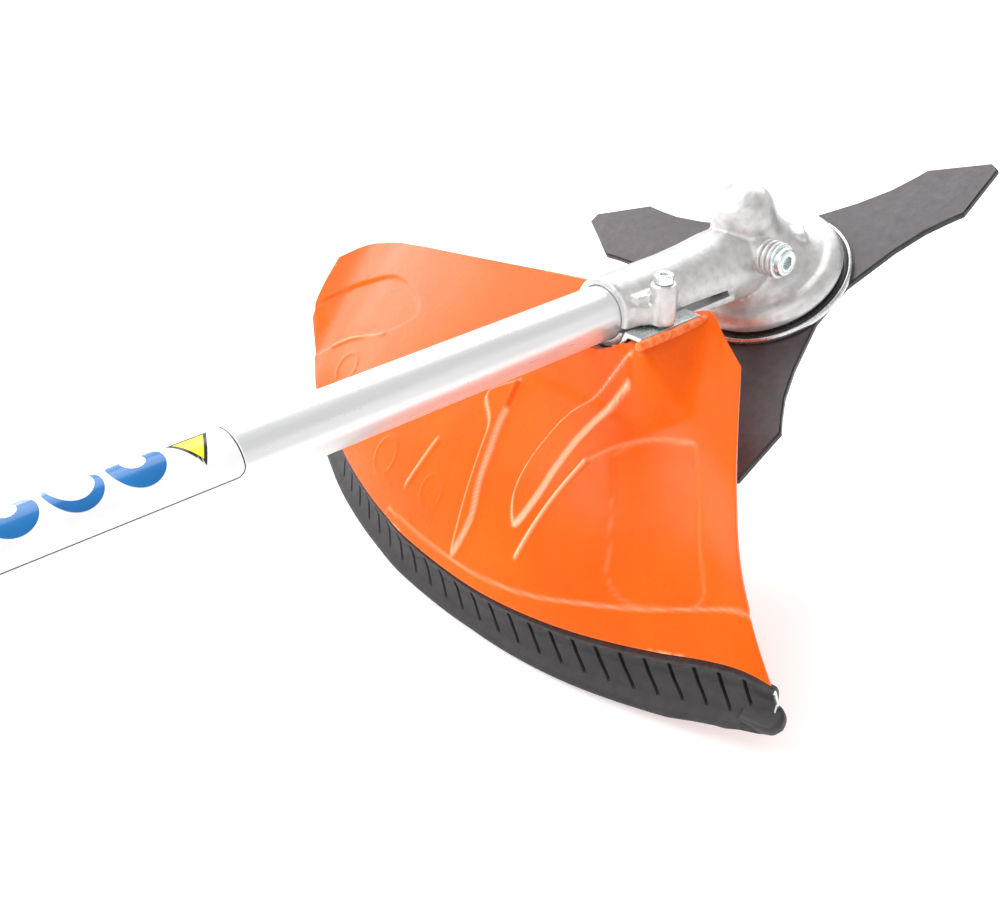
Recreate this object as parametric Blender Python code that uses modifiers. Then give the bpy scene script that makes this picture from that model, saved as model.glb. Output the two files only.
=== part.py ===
"""Petrol brush cutter with a long straight tube, cycle-type handlebar and a three-wing brush knife.

Metres, +Z up, +X from the engine towards the knife. The origin is the middle of the fuel tank's flat base.
"""

import math

import bmesh
import bpy
from mathutils import Matrix, Vector

# ---------------------------------------------------------------- driving dimensions
GAP = 0.0003

# The head is bent down from the tube. Its frame has +Z up the output shaft and +X away from the engine,
# and its origin is the middle of the knife's upper face.
BEND = math.radians(30.0)
HEAD_X = 1.550
HEAD_Z = 0.1326
AXIS_RISE = 0.021
CRANK_Z = HEAD_Z + AXIS_RISE * math.cos(BEND)
CROSSING_X = HEAD_X - AXIS_RISE * math.sin(BEND)

# Bevel gears, measured from the point where the two shafts cross.
CROWN_TEETH = 18
PINION_TEETH = 12
CROWN_CONE = math.radians(79.1)
PINION_CONE = math.radians(40.9)
TOOTH_TIP = math.radians(3.6)
TOOTH_ROOT = math.radians(4.4)
CONE_OUTER = 0.0175
CONE_INNER = 0.0135

TUBE_RADIUS = 0.0127
TUBE_BORE = 0.0107
TUBE_START_X = 0.112
TUBE_END_S = 0.048
COLLAR_RADIUS = 0.0162
COLLAR_END_S = 0.1106
SHAFT_RADIUS = 0.004
DRUM_SHAFT_END = 0.1160
BUSHING_X = (0.780, 0.820)

KNIFE_RADIUS = 0.125
KNIFE_THICKNESS = 0.0035
KNIFE_BORE = 0.0130
KNIFE_PHASE = math.radians(-31.2)
KNIFE_WINGS = 3
# One half of a wing's outline, as shares of the radius: along the wing, and half the width there.
WING_OUTLINE = ((0.25, 0.230), (0.48, 0.170), (0.62, 0.150), (0.72, 0.152), (0.785, 0.157), (0.999, 0.024))

PLUG_X = -0.0105
PLUG_Z = 0.0350
SCREW_S = 0.093
SCREW_Y = 0.0215
SCREW_HOLE = 0.0029
BRACKET_UP = -0.0045
BRACKET_THICK = 0.0020
BRACKET_HALF_WIDTH = 0.0262
# The right ear stands tall beside the collar, and the left one is low, with a flat-headed screw.
EAR_RADIUS = 0.0058
EAR_LOW = -0.0034
EAR_TOPS = {-1: 0.0155, 1: -0.0010}
SCREW_END = -0.0125

# Debris guard: each station runs from its upper edge to its lower rim, from the near side round to the far side.
GUARD_WALL = 0.0022
GUARD_ROWS = (0.0, 0.07, 0.16, 0.25, 0.36, 0.50, 0.64, 0.77, 0.88, 0.95, 1.0)
GUARD_STATIONS = (
    ((-0.0735, -0.0570, 0.0450), (-0.187, -0.141, 0.003)),
    ((-0.0690, -0.0420, 0.0475), (-0.189, -0.126, 0.001)),
    ((-0.0640, -0.0290, 0.0500), (-0.193, -0.108, 0.0)),
    ((-0.0640, -0.0215, 0.0500), (-0.199, -0.088, 0.0)),
    ((-0.0640, -0.0150, 0.0500), (-0.205, -0.066, 0.0)),
    ((-0.0640, -0.0080, 0.0500), (-0.211, -0.043, 0.0)),
    ((-0.0640, 0.0000, 0.0500), (-0.215, -0.018, 0.0)),
    ((-0.0640, 0.0080, 0.0500), (-0.217, 0.006, 0.0)),
    ((-0.0640, 0.0150, 0.0500), (-0.217, 0.028, 0.0)),
    ((-0.0640, 0.0215, 0.0500), (-0.216, 0.048, 0.0)),
    ((-0.0640, 0.0290, 0.0500), (-0.213, 0.070, 0.0)),
    ((-0.0640, 0.0600, 0.0490), (-0.208, 0.093, 0.0)),
    ((-0.0650, 0.1050, 0.0455), (-0.201, 0.118, 0.0)),
    ((-0.0650, 0.1500, 0.0395), (-0.191, 0.145, 0.0)),
    ((-0.0640, 0.1900, 0.0320), (-0.178, 0.171, 0.001)),
    ((-0.0650, 0.2200, 0.0250), (-0.163, 0.193, 0.003)),
    ((-0.0720, 0.2390, 0.0205), (-0.146, 0.213, 0.006)),
    ((-0.0860, 0.2470, 0.0180), (-0.126, 0.232, 0.010)),
)
PAD_UP = -0.0069
PAD_HALF_WIDTH = 0.0290
PAD_END_S = 0.114
PAD_BACK_X = PAD_END_S * math.cos(BEND) - PAD_UP * math.sin(BEND)
GROOVE_RADIUS = 0.0206

# Skirt section: outwards from the guard's rim, and up.
SKIRT_SECTION = ((0.0010, -0.0012), (0.0042, -0.0068), (0.0100, -0.0112), (0.0158, -0.0145), (0.0128, -0.0145),
                 (0.0072, -0.0127), (0.0014, -0.0085), (-0.0020, -0.0012))
SKIRT_STATIONS = 15
SKIRT_TOE = 0.006

# Cycle-type handlebar, seen from behind the engine.
BAR_X = 0.600
BAR_RADIUS = 0.0095
BAR_REST = 0.034
BAR_CORNERS = ((0.600, 0.000, 0.034), (0.600, 0.070, 0.034), (0.598, 0.262, 0.262), (0.560, 0.300, 0.300))
BAR_TIP = (0.400, 0.325, 0.322)
GRIP_RADIUS = 0.0160

RING_X = 0.440
RING_LEAN = math.radians(80.0)
CYLINDER_X = 0.023
CRANK_THROW = 0.016
ROD_LENGTH = 0.058
PISTON_RADIUS = 0.0199
CYLINDER_BORE = 0.0203
MAIN_SHAFT = 0.008
WEB_RADIUS = 0.0285
CRANK_PIN_RADIUS = 0.0060
TANK_HALF = (0.085, 0.070)
TANK_TOP = 0.082
TANK_WALL = 0.0025

# ---------------------------------------------------------------- scene and finishes
for old in list(bpy.data.objects):
    bpy.data.objects.remove(old, do_unlink=True)

MACHINE = bpy.data.collections.new("brush_cutter")
CUTTERS = bpy.data.collections.new("cutters")
bpy.context.scene.collection.children.link(MACHINE)
bpy.context.scene.collection.children.link(CUTTERS)
CUTTERS.hide_render = True

FINISHES = {
    "cast_aluminium": ((0.72, 0.71, 0.70), 0.42, 1.0),
    "satin_tube": ((0.80, 0.81, 0.82), 0.30, 1.0),
    "ground_steel": ((0.55, 0.56, 0.58), 0.28, 1.0),
    "zinc_steel": ((0.62, 0.68, 0.68), 0.30, 1.0),
    "knife_steel": ((0.20, 0.18, 0.20), 0.45, 0.9),
    "orange_plastic": ((1.0, 0.155, 0.0), 0.25, 0.0),
    "black_plastic": ((0.028, 0.026, 0.027), 0.45, 0.0),
    "black_rubber": ((0.020, 0.020, 0.020), 0.70, 0.0),
    "grey_plastic": ((0.16, 0.16, 0.165), 0.50, 0.0),
    "clear_plastic": ((0.78, 0.78, 0.72), 0.30, 0.0),
    "red_plastic": ((0.60, 0.02, 0.01), 0.35, 0.0),
    "filter_foam": ((0.05, 0.05, 0.05), 0.95, 0.0),
    "ceramic": ((0.85, 0.85, 0.83), 0.20, 0.0),
}


def finish_material(name):
    """Returns the named finish, made once."""
    found = bpy.data.materials.get(name)
    if found:
        return found
    colour, roughness, metallic = FINISHES[name]
    made = bpy.data.materials.new(name)
    made.use_nodes = True
    shader = made.node_tree.nodes["Principled BSDF"]
    shader.inputs["Base Color"].default_value = (*colour, 1.0)
    shader.inputs["Roughness"].default_value = roughness
    shader.inputs["Metallic"].default_value = metallic
    made.diffuse_color = (*colour, 1.0)
    return made


def frame(name, location, rotation=None, parent=None):
    """An empty that carries the pieces of one assembly."""
    empty = bpy.data.objects.new(name, None)
    MACHINE.objects.link(empty)
    empty.location = location
    if rotation is not None:
        empty.rotation_euler = rotation
    empty.parent = parent
    empty.empty_display_size = 0.02
    return empty


# ---------------------------------------------------------------- shapes
AXIS_TURN = {
    "X": Matrix.Rotation(math.radians(90.0), 4, "Y"),
    "Y": Matrix.Rotation(math.radians(-90.0), 4, "X"),
    "Z": Matrix.Identity(4),
}


def turned(outline, axis="Z", segments=24, ring=False, centre=(0.0, 0.0, 0.0)):
    """Revolves (radius, height) points about an axis. A ring's outline closes on itself, off the axis."""
    shape = bmesh.new()
    points = [shape.verts.new((radius, 0.0, height)) for radius, height in outline]
    edges = [shape.edges.new(pair) for pair in zip(points, points[1:])]
    if ring:
        edges.append(shape.edges.new((points[-1], points[0])))
    bmesh.ops.spin(shape, geom=points + edges, cent=(0, 0, 0), axis=(0, 0, 1), angle=2 * math.pi,
                   steps=segments, use_merge=True)
    bmesh.ops.remove_doubles(shape, verts=shape.verts, dist=1e-6)
    bmesh.ops.recalc_face_normals(shape, faces=shape.faces)
    bmesh.ops.transform(shape, matrix=Matrix.Translation(centre) @ AXIS_TURN[axis], verts=shape.verts)
    return shape


def rod(radius, low, high, axis="Z", segments=18, centre=(0.0, 0.0, 0.0)):
    """A plain cylinder between two heights."""
    return turned(((0.0, high), (radius, high), (radius, low), (0.0, low)), axis, segments, False, centre)


def sleeve(inner, outer, low, high, axis="Z", segments=24, centre=(0.0, 0.0, 0.0)):
    """A plain tube between two heights."""
    outline = ((inner, high), (outer, high), (outer, low), (inner, low))
    return turned(outline, axis, segments, True, centre)


def block(low, high):
    """A box between two corners."""
    shape = bmesh.new()
    size = [b - a for a, b in zip(low, high)]
    middle = [(a + b) / 2 for a, b in zip(low, high)]
    bmesh.ops.create_cube(shape, size=1.0)
    bmesh.ops.scale(shape, vec=size, verts=shape.verts)
    bmesh.ops.translate(shape, vec=middle, verts=shape.verts)
    return shape


def rounded_block(low, high, radius, segments=3):
    """A box with all its edges rounded."""
    shape = block(low, high)
    bmesh.ops.bevel(shape, geom=list(shape.edges), offset=radius, segments=segments, profile=0.5, affect="EDGES")
    return shape


def prism(points, low, high, axis="Z"):
    """Pushes a flat outline from one height to another along an axis."""
    shape = bmesh.new()
    corners = [shape.verts.new((x, y, low)) for x, y in points]
    face = shape.faces.new(corners)
    grown = bmesh.ops.extrude_face_region(shape, geom=[face])
    moved = [item for item in grown["geom"] if isinstance(item, bmesh.types.BMVert)]
    bmesh.ops.translate(shape, vec=(0, 0, high - low), verts=moved)
    bmesh.ops.recalc_face_normals(shape, faces=shape.faces)
    bmesh.ops.transform(shape, matrix=AXIS_TURN[axis], verts=shape.verts)
    return shape


def regular_outline(sides, radius, turn=0.0):
    """Corners of a regular figure."""
    angles = [turn + 2 * math.pi * k / sides for k in range(sides)]
    return [(radius * math.cos(a), radius * math.sin(a)) for a in angles]


def loft(sections, closed_ends=True, loop=False):
    """Joins sections of equal point count, each a closed ring of points, one after the other."""
    shape = bmesh.new()
    rings = [[shape.verts.new(point) for point in section] for section in sections]
    pairs = list(zip(rings, rings[1:]))
    if loop:
        pairs.append((rings[-1], rings[0]))
    for first, second in pairs:
        for k in range(len(first)):
            after = (k + 1) % len(first)
            shape.faces.new((first[k], first[after], second[after], second[k]))
    if closed_ends and not loop:
        shape.faces.new(rings[0])
        shape.faces.new(rings[-1])
    bmesh.ops.remove_doubles(shape, verts=shape.verts, dist=1e-6)
    bmesh.ops.recalc_face_normals(shape, faces=shape.faces)
    return shape


def rounded_path(corners, radius, steps=6):
    """A path through straight legs, with each inner corner replaced by an arc."""
    corners = [Vector(corner) for corner in corners]
    path = [corners[0]]
    for before, corner, after in zip(corners, corners[1:], corners[2:]):
        back = (before - corner).normalized()
        ahead = (after - corner).normalized()
        half = back.angle(ahead) / 2
        if half > math.radians(89.0):
            continue
        reach = radius / math.tan(half)
        middle = corner + (back + ahead).normalized() * (radius / math.sin(half))
        start = corner + back * reach - middle
        end = corner + ahead * reach - middle
        for k in range(steps + 1):
            share = k / steps
            swept = start.angle(end)
            arm = (start * math.sin((1 - share) * swept) + end * math.sin(share * swept)) / math.sin(swept)
            path.append(middle + arm)
    path.append(corners[-1])
    return path


def sweep(points, radius, resolution=2):
    """A round bar along a path, with closed ends."""
    curve = bpy.data.curves.new("path", "CURVE")
    curve.dimensions = "3D"
    curve.bevel_depth = radius
    curve.bevel_resolution = resolution
    curve.use_fill_caps = True
    spline = curve.splines.new("POLY")
    spline.points.add(len(points) - 1)
    for place, point in zip(spline.points, points):
        place.co = (*point, 1.0)
    holder = bpy.data.objects.new("path", curve)
    bpy.context.scene.collection.objects.link(holder)
    bpy.context.view_layer.update()
    mesh = bpy.data.meshes.new_from_object(holder.evaluated_get(bpy.context.evaluated_depsgraph_get()))
    shape = bmesh.new()
    shape.from_mesh(mesh)
    bmesh.ops.remove_doubles(shape, verts=shape.verts, dist=1e-5)
    bmesh.ops.recalc_face_normals(shape, faces=shape.faces)
    bpy.data.objects.remove(holder, do_unlink=True)
    bpy.data.curves.remove(curve)
    bpy.data.meshes.remove(mesh)
    return shape


def turned_by(shape, matrix):
    """Moves a shape by a matrix."""
    bmesh.ops.transform(shape, matrix=matrix, verts=shape.verts)
    return shape


def together(shapes):
    """Puts shapes that don't touch each other into one mesh."""
    whole = bmesh.new()
    for shape in shapes:
        mesh = bpy.data.meshes.new("share")
        shape.to_mesh(mesh)
        whole.from_mesh(mesh)
        bpy.data.meshes.remove(mesh)
        shape.free()
    return whole


def around(make, count, axis="Z", turn=0.0):
    """Copies of one shape evenly spaced about an axis through the frame's origin."""
    shapes = []
    for k in range(count):
        shapes.append(turned_by(make(), Matrix.Rotation(turn + 2 * math.pi * k / count, 4, axis)))
    return together(shapes)


def object_of(name, shape, collection, parent, origin):
    """Turns a shape into an object whose origin is at the given place of its frame."""
    bmesh.ops.translate(shape, vec=[-value for value in origin], verts=shape.verts)
    mesh = bpy.data.meshes.new(name)
    shape.to_mesh(mesh)
    shape.free()
    made = bpy.data.objects.new(name, mesh)
    collection.objects.link(made)
    made.location = origin
    made.parent = parent
    return made


def piece(name, shape, finish, parent, origin=(0.0, 0.0, 0.0), sharp=35.0):
    """One separate part of the machine, shaded smooth up to the given edge angle."""
    made = object_of(name, shape, MACHINE, parent, origin)
    made.data.materials.append(finish_material(finish))
    made.data.shade_smooth()
    made.data.set_sharp_from_angle(angle=math.radians(sharp))
    return made


def tool(target, shape, operation="DIFFERENCE"):
    """Cuts a shape from a part, or adds it, in the part's own frame."""
    cutter = object_of("cutter_" + target.name, shape, CUTTERS, target.parent, (0.0, 0.0, 0.0))
    cutter.display_type = "WIRE"
    cutter.hide_render = True
    step = target.modifiers.new(operation.lower(), "BOOLEAN")
    step.operation = operation
    step.solver = "EXACT"
    step.object = cutter


def tube_place(distance, side, up):
    """A place in the head frame from its distance back along the tube, its side and its height off the axis."""
    back = Vector((-math.cos(BEND), 0.0, math.sin(BEND)))
    above = Vector((math.sin(BEND), 0.0, math.cos(BEND)))
    return Vector((0.0, side, AXIS_RISE)) + back * distance + above * up


def tube_frame_matrix():
    """Takes shapes with +Z back along the tube, +X up from it and +Y to the machine's left into the head frame."""
    back = Vector((-math.cos(BEND), 0.0, math.sin(BEND)))
    above = Vector((math.sin(BEND), 0.0, math.cos(BEND)))
    turn = Matrix((above, (0.0, 1.0, 0.0), back)).transposed().to_4x4()
    return Matrix.Translation((0.0, 0.0, AXIS_RISE)) @ turn


# ---------------------------------------------------------------- gear head
def bevel_gear(teeth, cone, section, turn):
    """Lofts a bevel gear round its axis; the section is asked for at the tooth tips and at the roots."""
    pitch = 2 * math.pi / teeth
    steps = ((-0.31, -TOOTH_ROOT), (-0.15, TOOTH_TIP), (0.15, TOOTH_TIP), (0.31, -TOOTH_ROOT))
    sections = []
    for k in range(teeth):
        for share, rise in steps:
            angle = turn + (k + share) * pitch
            points = section(cone + rise)
            sections.append([(r * math.cos(angle), r * math.sin(angle), z) for r, z in points])
    return loft(sections, loop=True)


def crown_section(angle):
    back = 0.0083
    bore = 0.0063
    root = CROWN_CONE - TOOTH_ROOT
    return ((bore, CONE_INNER * math.cos(root)), (CONE_INNER * math.sin(angle), CONE_INNER * math.cos(angle)),
            (CONE_OUTER * math.sin(angle), CONE_OUTER * math.cos(angle)), (CONE_OUTER * math.sin(root), back),
            (bore, back))


def pinion_section(angle):
    root = PINION_CONE - TOOTH_ROOT
    back = 0.0172
    shank_end = 0.0460
    shank = 0.0060
    return ((0.0001, CONE_INNER * math.cos(root)), (CONE_INNER * math.sin(angle), CONE_INNER * math.cos(angle)),
            (CONE_OUTER * math.sin(angle), CONE_OUTER * math.cos(angle)), (CONE_OUTER * math.sin(root), back),
            (shank, back), (shank, shank_end), (0.0001, shank_end))


def make_housing(head):
    """One casting: a wide dish over the crown gear, a boss over the output shaft and a split collar for the tube."""
    dish = ((0.0, 0.0615), (0.0065, 0.0612), (0.0110, 0.0595), (0.0134, 0.0560), (0.0140, 0.0500),
            (0.0150, 0.0420), (0.0172, 0.0340), (0.0205, 0.0265), (0.0245, 0.0200), (0.0305, 0.0152),
            (0.0365, 0.0112), (0.0396, 0.0080), (0.0400, 0.0062), (0.0396, 0.0036), (0.0, 0.0036))
    housing = piece("gearbox_housing", turned(dish, segments=32), "cast_aluminium", head, sharp=40.0)
    to_head = tube_frame_matrix()
    collar = turned(((0.0, COLLAR_END_S), (0.0157, COLLAR_END_S), (COLLAR_RADIUS, 0.1098), (COLLAR_RADIUS, 0.060),
                     (0.0178, 0.042), (0.0185, 0.020), (0.0185, 0.004), (0.0, 0.004)), segments=24)
    tool(housing, turned_by(collar, to_head), "UNION")
    tool(housing, turned_by(block((-0.0060, -0.0310, 0.0403), (-0.0038, 0.0290, 0.1150)), to_head))
    ears = together([turned_by(sleeve(SCREW_HOLE, EAR_RADIUS, EAR_LOW, top, "X", 12, (0.0, side * SCREW_Y, SCREW_S)),
                               to_head) for side, top in EAR_TOPS.items()])
    tool(housing, ears, "UNION")
    web = turned_by(block((-0.0027, -0.0172, SCREW_S - 0.0041), (0.0043, 0.0166, SCREW_S + 0.0043)), to_head)
    tool(housing, web, "UNION")
    plug_boss = turned(((0.0, -0.004), (0.0080, -0.004), (0.0078, -0.0225), (0.0072, -0.0268), (0.0, -0.0268)),
                       "Y", 14, False, (PLUG_X, 0.0, PLUG_Z))
    tool(housing, plug_boss, "UNION")
    tool(housing, rod(0.0034, -0.0300, -0.0175, "Y", 14, (PLUG_X, 0.0, PLUG_Z)))
    tool(housing, rod(0.0213, 0.0030, 0.0200, "Z", 24))
    tool(housing, rod(0.0113, 0.0180, 0.0533, "Z", 18))
    tool(housing, turned_by(rod(0.0131, 0.0090, 0.1120, "Z", 24), to_head))



def make_gears(head, line):
    crown = bevel_gear(CROWN_TEETH, CROWN_CONE, crown_section, 0.0)
    piece("crown_gear", turned_by(crown, Matrix.Translation((0, 0, AXIS_RISE)) @ Matrix.Rotation(math.pi, 4, "Y")),
          "ground_steel", head, sharp=20.0)
    pinion = bevel_gear(PINION_TEETH, PINION_CONE, pinion_section, math.pi / PINION_TEETH)
    bmesh.ops.remove_doubles(pinion, verts=pinion.verts, dist=0.00008)
    to_line = Matrix.Translation((CROSSING_X, 0, 0)) @ Matrix.Rotation(math.radians(-90.0), 4, "Y")
    piece("bevel_pinion", turned_by(pinion, to_line), "ground_steel", line, sharp=20.0)


def make_output(head):
    """The output shaft with its bearings, and the stack that holds the knife."""
    shaft = ((0.0, 0.0529), (0.0035, 0.0529), (0.0035, 0.0188), (0.0060, 0.0180), (0.0060, 0.0124), (0.0097, 0.0124),
             (0.0097, 0.0036), (0.0065, 0.0036), (0.0065, -0.0036), (0.0050, -0.0036), (0.0050, -0.0250),
             (0.0042, -0.0260), (0.0, -0.0260))
    piece("output_shaft", turned(shaft, segments=18), "ground_steel", head)
    bearing_piece("lower_output_bearing", 0.0100, 0.0210, 0.0044, 0.0122, head)
    bearing_piece("upper_output_bearing", 0.0038, 0.0110, 0.0455, 0.0530, head)
    holder = ((0.0068, 0.0033), (0.0425, 0.0033), (0.0430, 0.0028), (0.0430, 0.0008), (0.0425, 0.0003),
              (0.0127, 0.0003), (0.0127, -0.0029), (0.0068, -0.0029))
    piece("knife_holder_plate", turned(holder, segments=32, ring=True), "ground_steel", head)
    washer = ((0.0053, -0.0040), (0.0290, -0.0040), (0.0300, -0.0060), (0.0270, -0.0105), (0.0200, -0.0120),
              (0.0053, -0.0120))
    piece("clamp_washer", turned(washer, segments=24, ring=True), "ground_steel", head)
    nut = piece("knife_nut", prism(regular_outline(6, 0.0098), -0.0205, -0.0123), "zinc_steel", head)
    tool(nut, rod(0.0053, -0.03, 0.0, "Z", 14))


def bearing_piece(name, inner, outer, low, high, parent, axis="Z", segments=20):
    """A sealed ball bearing: two races and the recessed seal between them, as one ring."""
    race = (outer - inner) * 0.26
    dip = 0.0005
    outline = ((inner, high), (inner + race, high), (inner + race, high - dip), (outer - race, high - dip),
               (outer - race, high), (outer, high), (outer, low), (outer - race, low), (outer - race, low + dip),
               (inner + race, low + dip), (inner + race, low), (inner, low))
    piece(name, turned(outline, axis, segments, True), "ground_steel", parent)


def make_knife(head):
    """Three wings with hollow sides, arrow-shaped ends and a round bore."""
    outline = []
    for wing in range(KNIFE_WINGS):
        middle = KNIFE_PHASE + 2 * math.pi * wing / KNIFE_WINGS
        half = [(along * KNIFE_RADIUS, -wide * KNIFE_RADIUS) for along, wide in WING_OUTLINE]
        half += [(x, -y) for x, y in reversed(half)]
        for x, y in half:
            outline.append((x * math.cos(middle) - y * math.sin(middle), x * math.sin(middle) + y * math.cos(middle)))
    knife = piece("brush_knife", prism(outline, -KNIFE_THICKNESS, 0.0), "knife_steel", head)
    tool(knife, rod(KNIFE_BORE, -0.01, 0.01, "Z", 24))


def make_plug(head):
    """Screw plug of the grease filler, with its washer and a hexagon socket."""
    outline = ((0.0, -0.0180), (0.0030, -0.0180), (0.0030, -0.0271), (0.0078, -0.0271), (0.0078, -0.0286),
               (0.0064, -0.0286), (0.0064, -0.0325), (0.0052, -0.0338), (0.0, -0.0338))
    plug = piece("grease_plug", turned(outline, "Y", 18, False, (PLUG_X, 0, PLUG_Z)), "zinc_steel", head)
    socket = prism(regular_outline(6, 0.0030), -0.0400, -0.0310, "Y")
    tool(plug, turned_by(socket, Matrix.Translation((PLUG_X, 0, PLUG_Z))))


def make_bracket(head):
    """Steel saddle under the collar, with a flat wing on each side for the two guard screws."""
    angles = [math.radians(-14.0 - 152.0 * k / 8) for k in range(9)]
    near = COLLAR_RADIUS + 0.0007
    far = near + BRACKET_THICK
    under = BRACKET_UP - BRACKET_THICK
    upper = [(BRACKET_UP, BRACKET_HALF_WIDTH)]
    upper += [(near * math.sin(a), near * math.cos(a)) for a in angles]
    upper.append((BRACKET_UP, -BRACKET_HALF_WIDTH))
    lower = [(under, -BRACKET_HALF_WIDTH)]
    lower += [(min(far * math.sin(a), under), far * math.cos(a)) for a in reversed(angles)]
    lower.append((under, BRACKET_HALF_WIDTH))
    saddle = turned_by(prism(upper + lower, 0.0720, 0.1120), tube_frame_matrix())
    bracket = piece("guard_bracket", saddle, "zinc_steel", head)
    holes = together([turned_by(rod(SCREW_HOLE, -0.0200, 0.0050, "X", 12, (0.0, side * SCREW_Y, SCREW_S)),
                                tube_frame_matrix()) for side in (-1, 1)])
    tool(bracket, holes)


def guard_screw(name, side, head_height, head):
    """A cap screw square to the collar, standing on its ear, with a hexagon socket half as deep as its head."""
    seat = EAR_TOPS[side] + GAP
    top = seat + head_height
    outline = ((0.0, top), (0.0042, top), (0.0045, top - 0.0005), (0.0045, seat), (0.0025, seat),
               (0.0025, SCREW_END), (0.0, SCREW_END))
    shape = turned(outline, "X", 12, False, (0.0, side * SCREW_Y, SCREW_S))
    screw = piece(name, turned_by(shape, tube_frame_matrix()), "zinc_steel", head)
    socket = prism(regular_outline(6, 0.0022), top - head_height / 2, top + 0.0050, "X")
    place = tube_frame_matrix() @ Matrix.Translation((0.0, side * SCREW_Y, SCREW_S))
    tool(screw, turned_by(socket, place))


def make_guard_screws(head):
    guard_screw("guard_screw_right", -1, 0.0042, head)
    guard_screw("guard_screw_left", 1, 0.0022, head)


def guard_height(x, y, height):
    """Raises the guard to its mounting pad beside the tube and sinks it under the collar and the tube."""
    distance = -x * math.cos(BEND) + (height - AXIS_RISE) * math.sin(BEND)
    pad = AXIS_RISE + (PAD_UP - x * math.sin(BEND)) / math.cos(BEND)
    side = max(0.0, abs(y) - PAD_HALF_WIDTH)
    behind = max(0.0, -x - PAD_BACK_X)
    raised = max(height, pad - 1.5 * side - 2.2 * behind)
    up = x * math.sin(BEND) + (raised - AXIS_RISE) * math.cos(BEND)
    reach = GROOVE_RADIUS if distance < PAD_END_S + 0.006 else GROOVE_RADIUS - 0.003
    if abs(y) < reach and up > -math.sqrt(reach**2 - y**2):
        up = -math.sqrt(reach**2 - y**2)
        raised = AXIS_RISE + (up - x * math.sin(BEND)) / math.cos(BEND)
    return raised



def make_guard(head):
    """A thin shell from the bracket out to the rim, highest beside the tube."""
    shape = bmesh.new()
    rows = []
    for top, rim in GUARD_STATIONS:
        row = []
        for share in GUARD_ROWS:
            x = top[0] + (rim[0] - top[0]) * share
            y = top[1] + (rim[1] - top[1]) * share
            z = top[2] + (rim[2] - top[2]) * (0.25 * share + 0.75 * share**3)
            row.append(shape.verts.new((x, y, guard_height(x, y, z))))
        rows.append(row)
    for first, second in zip(rows, rows[1:]):
        for k in range(len(GUARD_ROWS) - 1):
            shape.faces.new((first[k], first[k + 1], second[k + 1], second[k]))
    bmesh.ops.recalc_face_normals(shape, faces=shape.faces)
    guard = piece("debris_guard", shape, "orange_plastic", head)
    thicken = guard.modifiers.new("wall", "SOLIDIFY")
    thicken.thickness = GUARD_WALL
    thicken.offset = -1.0 if guard.data.polygons[0].normal.z > 0 else 1.0
    holes = together([turned_by(rod(SCREW_HOLE, -0.0300, 0.0000, "X", 12, (0.0, side * SCREW_Y, SCREW_S)),
                                tube_frame_matrix()) for side in (-1, 1)])
    tool(guard, holes)


def rim_points():
    """The guard's lower rim with the outward direction at each point, started a little before its near corner."""
    rims = [Vector(rim) for _, rim in GUARD_STATIONS[:SKIRT_STATIONS]]
    rims.insert(0, rims[0] + (rims[0] - rims[1]).normalized() * SKIRT_TOE)
    found = []
    for k, place in enumerate(rims):
        before = rims[max(k - 1, 0)]
        after = rims[min(k + 1, len(rims) - 1)]
        along = after - before
        found.append((place, Vector((-along.y, along.x, 0.0)).normalized()))
    return found


def make_skirt(head):
    """Flared edge strip below the rim, and the small knife that trims a cutting line."""
    sections = []
    for place, outward in rim_points():
        sections.append([place + outward * out + Vector((0.0, 0.0, up - GUARD_WALL)) for out, up in SKIRT_SECTION])
    piece("guard_skirt", loft(sections), "black_plastic", head)
    toe, outward = rim_points()[0]
    along = Vector((outward.y, -outward.x, 0.0))
    corners = []
    section = ((-0.0042, -0.0155), (-0.0026, -0.0155), (-0.0026, -0.0040), (-0.0042, -0.0040))
    for reach in (-0.0030, 0.0160):
        corners.append([toe + along * reach + outward * out + Vector((0.0, 0.0, up)) for out, up in section])
    piece("line_cutter_knife", loft(corners), "zinc_steel", head)


def make_head(head, line):
    make_housing(head)
    make_gears(head, line)
    make_output(head)
    make_knife(head)
    make_plug(head)
    make_bracket(head)
    make_guard_screws(head)
    make_guard(head)
    make_skirt(head)
    bearing_piece("pinion_bearing", 0.0063, 0.0128, CROSSING_X - 0.0345, CROSSING_X - 0.0180, line, "X")


# ---------------------------------------------------------------- tube and drive shaft
def make_tube(line):
    tube_end = CROSSING_X - TUBE_END_S
    piece("drive_tube", sleeve(TUBE_BORE, TUBE_RADIUS, TUBE_START_X, tube_end, "X", 24), "satin_tube", line)
    shaft = rod(SHAFT_RADIUS, DRUM_SHAFT_END + GAP, CROSSING_X - 0.0463, "X", 12)
    piece("drive_shaft", shaft, "ground_steel", line)
    bushing = sleeve(SHAFT_RADIUS + GAP, TUBE_BORE - GAP, BUSHING_X[0], BUSHING_X[1], "X", 18)
    piece("shaft_bushing", bushing, "black_rubber", line)


# ---------------------------------------------------------------- handlebar and controls
def bar_tip_frame(side, line):
    """A frame at the bar's end: +X forward along the bar, +Z upward."""
    tip = Vector((BAR_TIP[0], side * BAR_TIP[1], BAR_TIP[2]))
    ahead_corner = BAR_CORNERS[-1]
    ahead = (Vector((ahead_corner[0], side * ahead_corner[1], ahead_corner[2])) - tip).normalized()
    sideways = Vector((0.0, 0.0, 1.0)).cross(ahead).normalized()
    upward = ahead.cross(sideways)
    turn = Matrix((ahead, sideways, upward)).transposed().to_euler()
    return frame("left_grip_frame" if side > 0 else "right_grip_frame", tip, turn, line)


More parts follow.
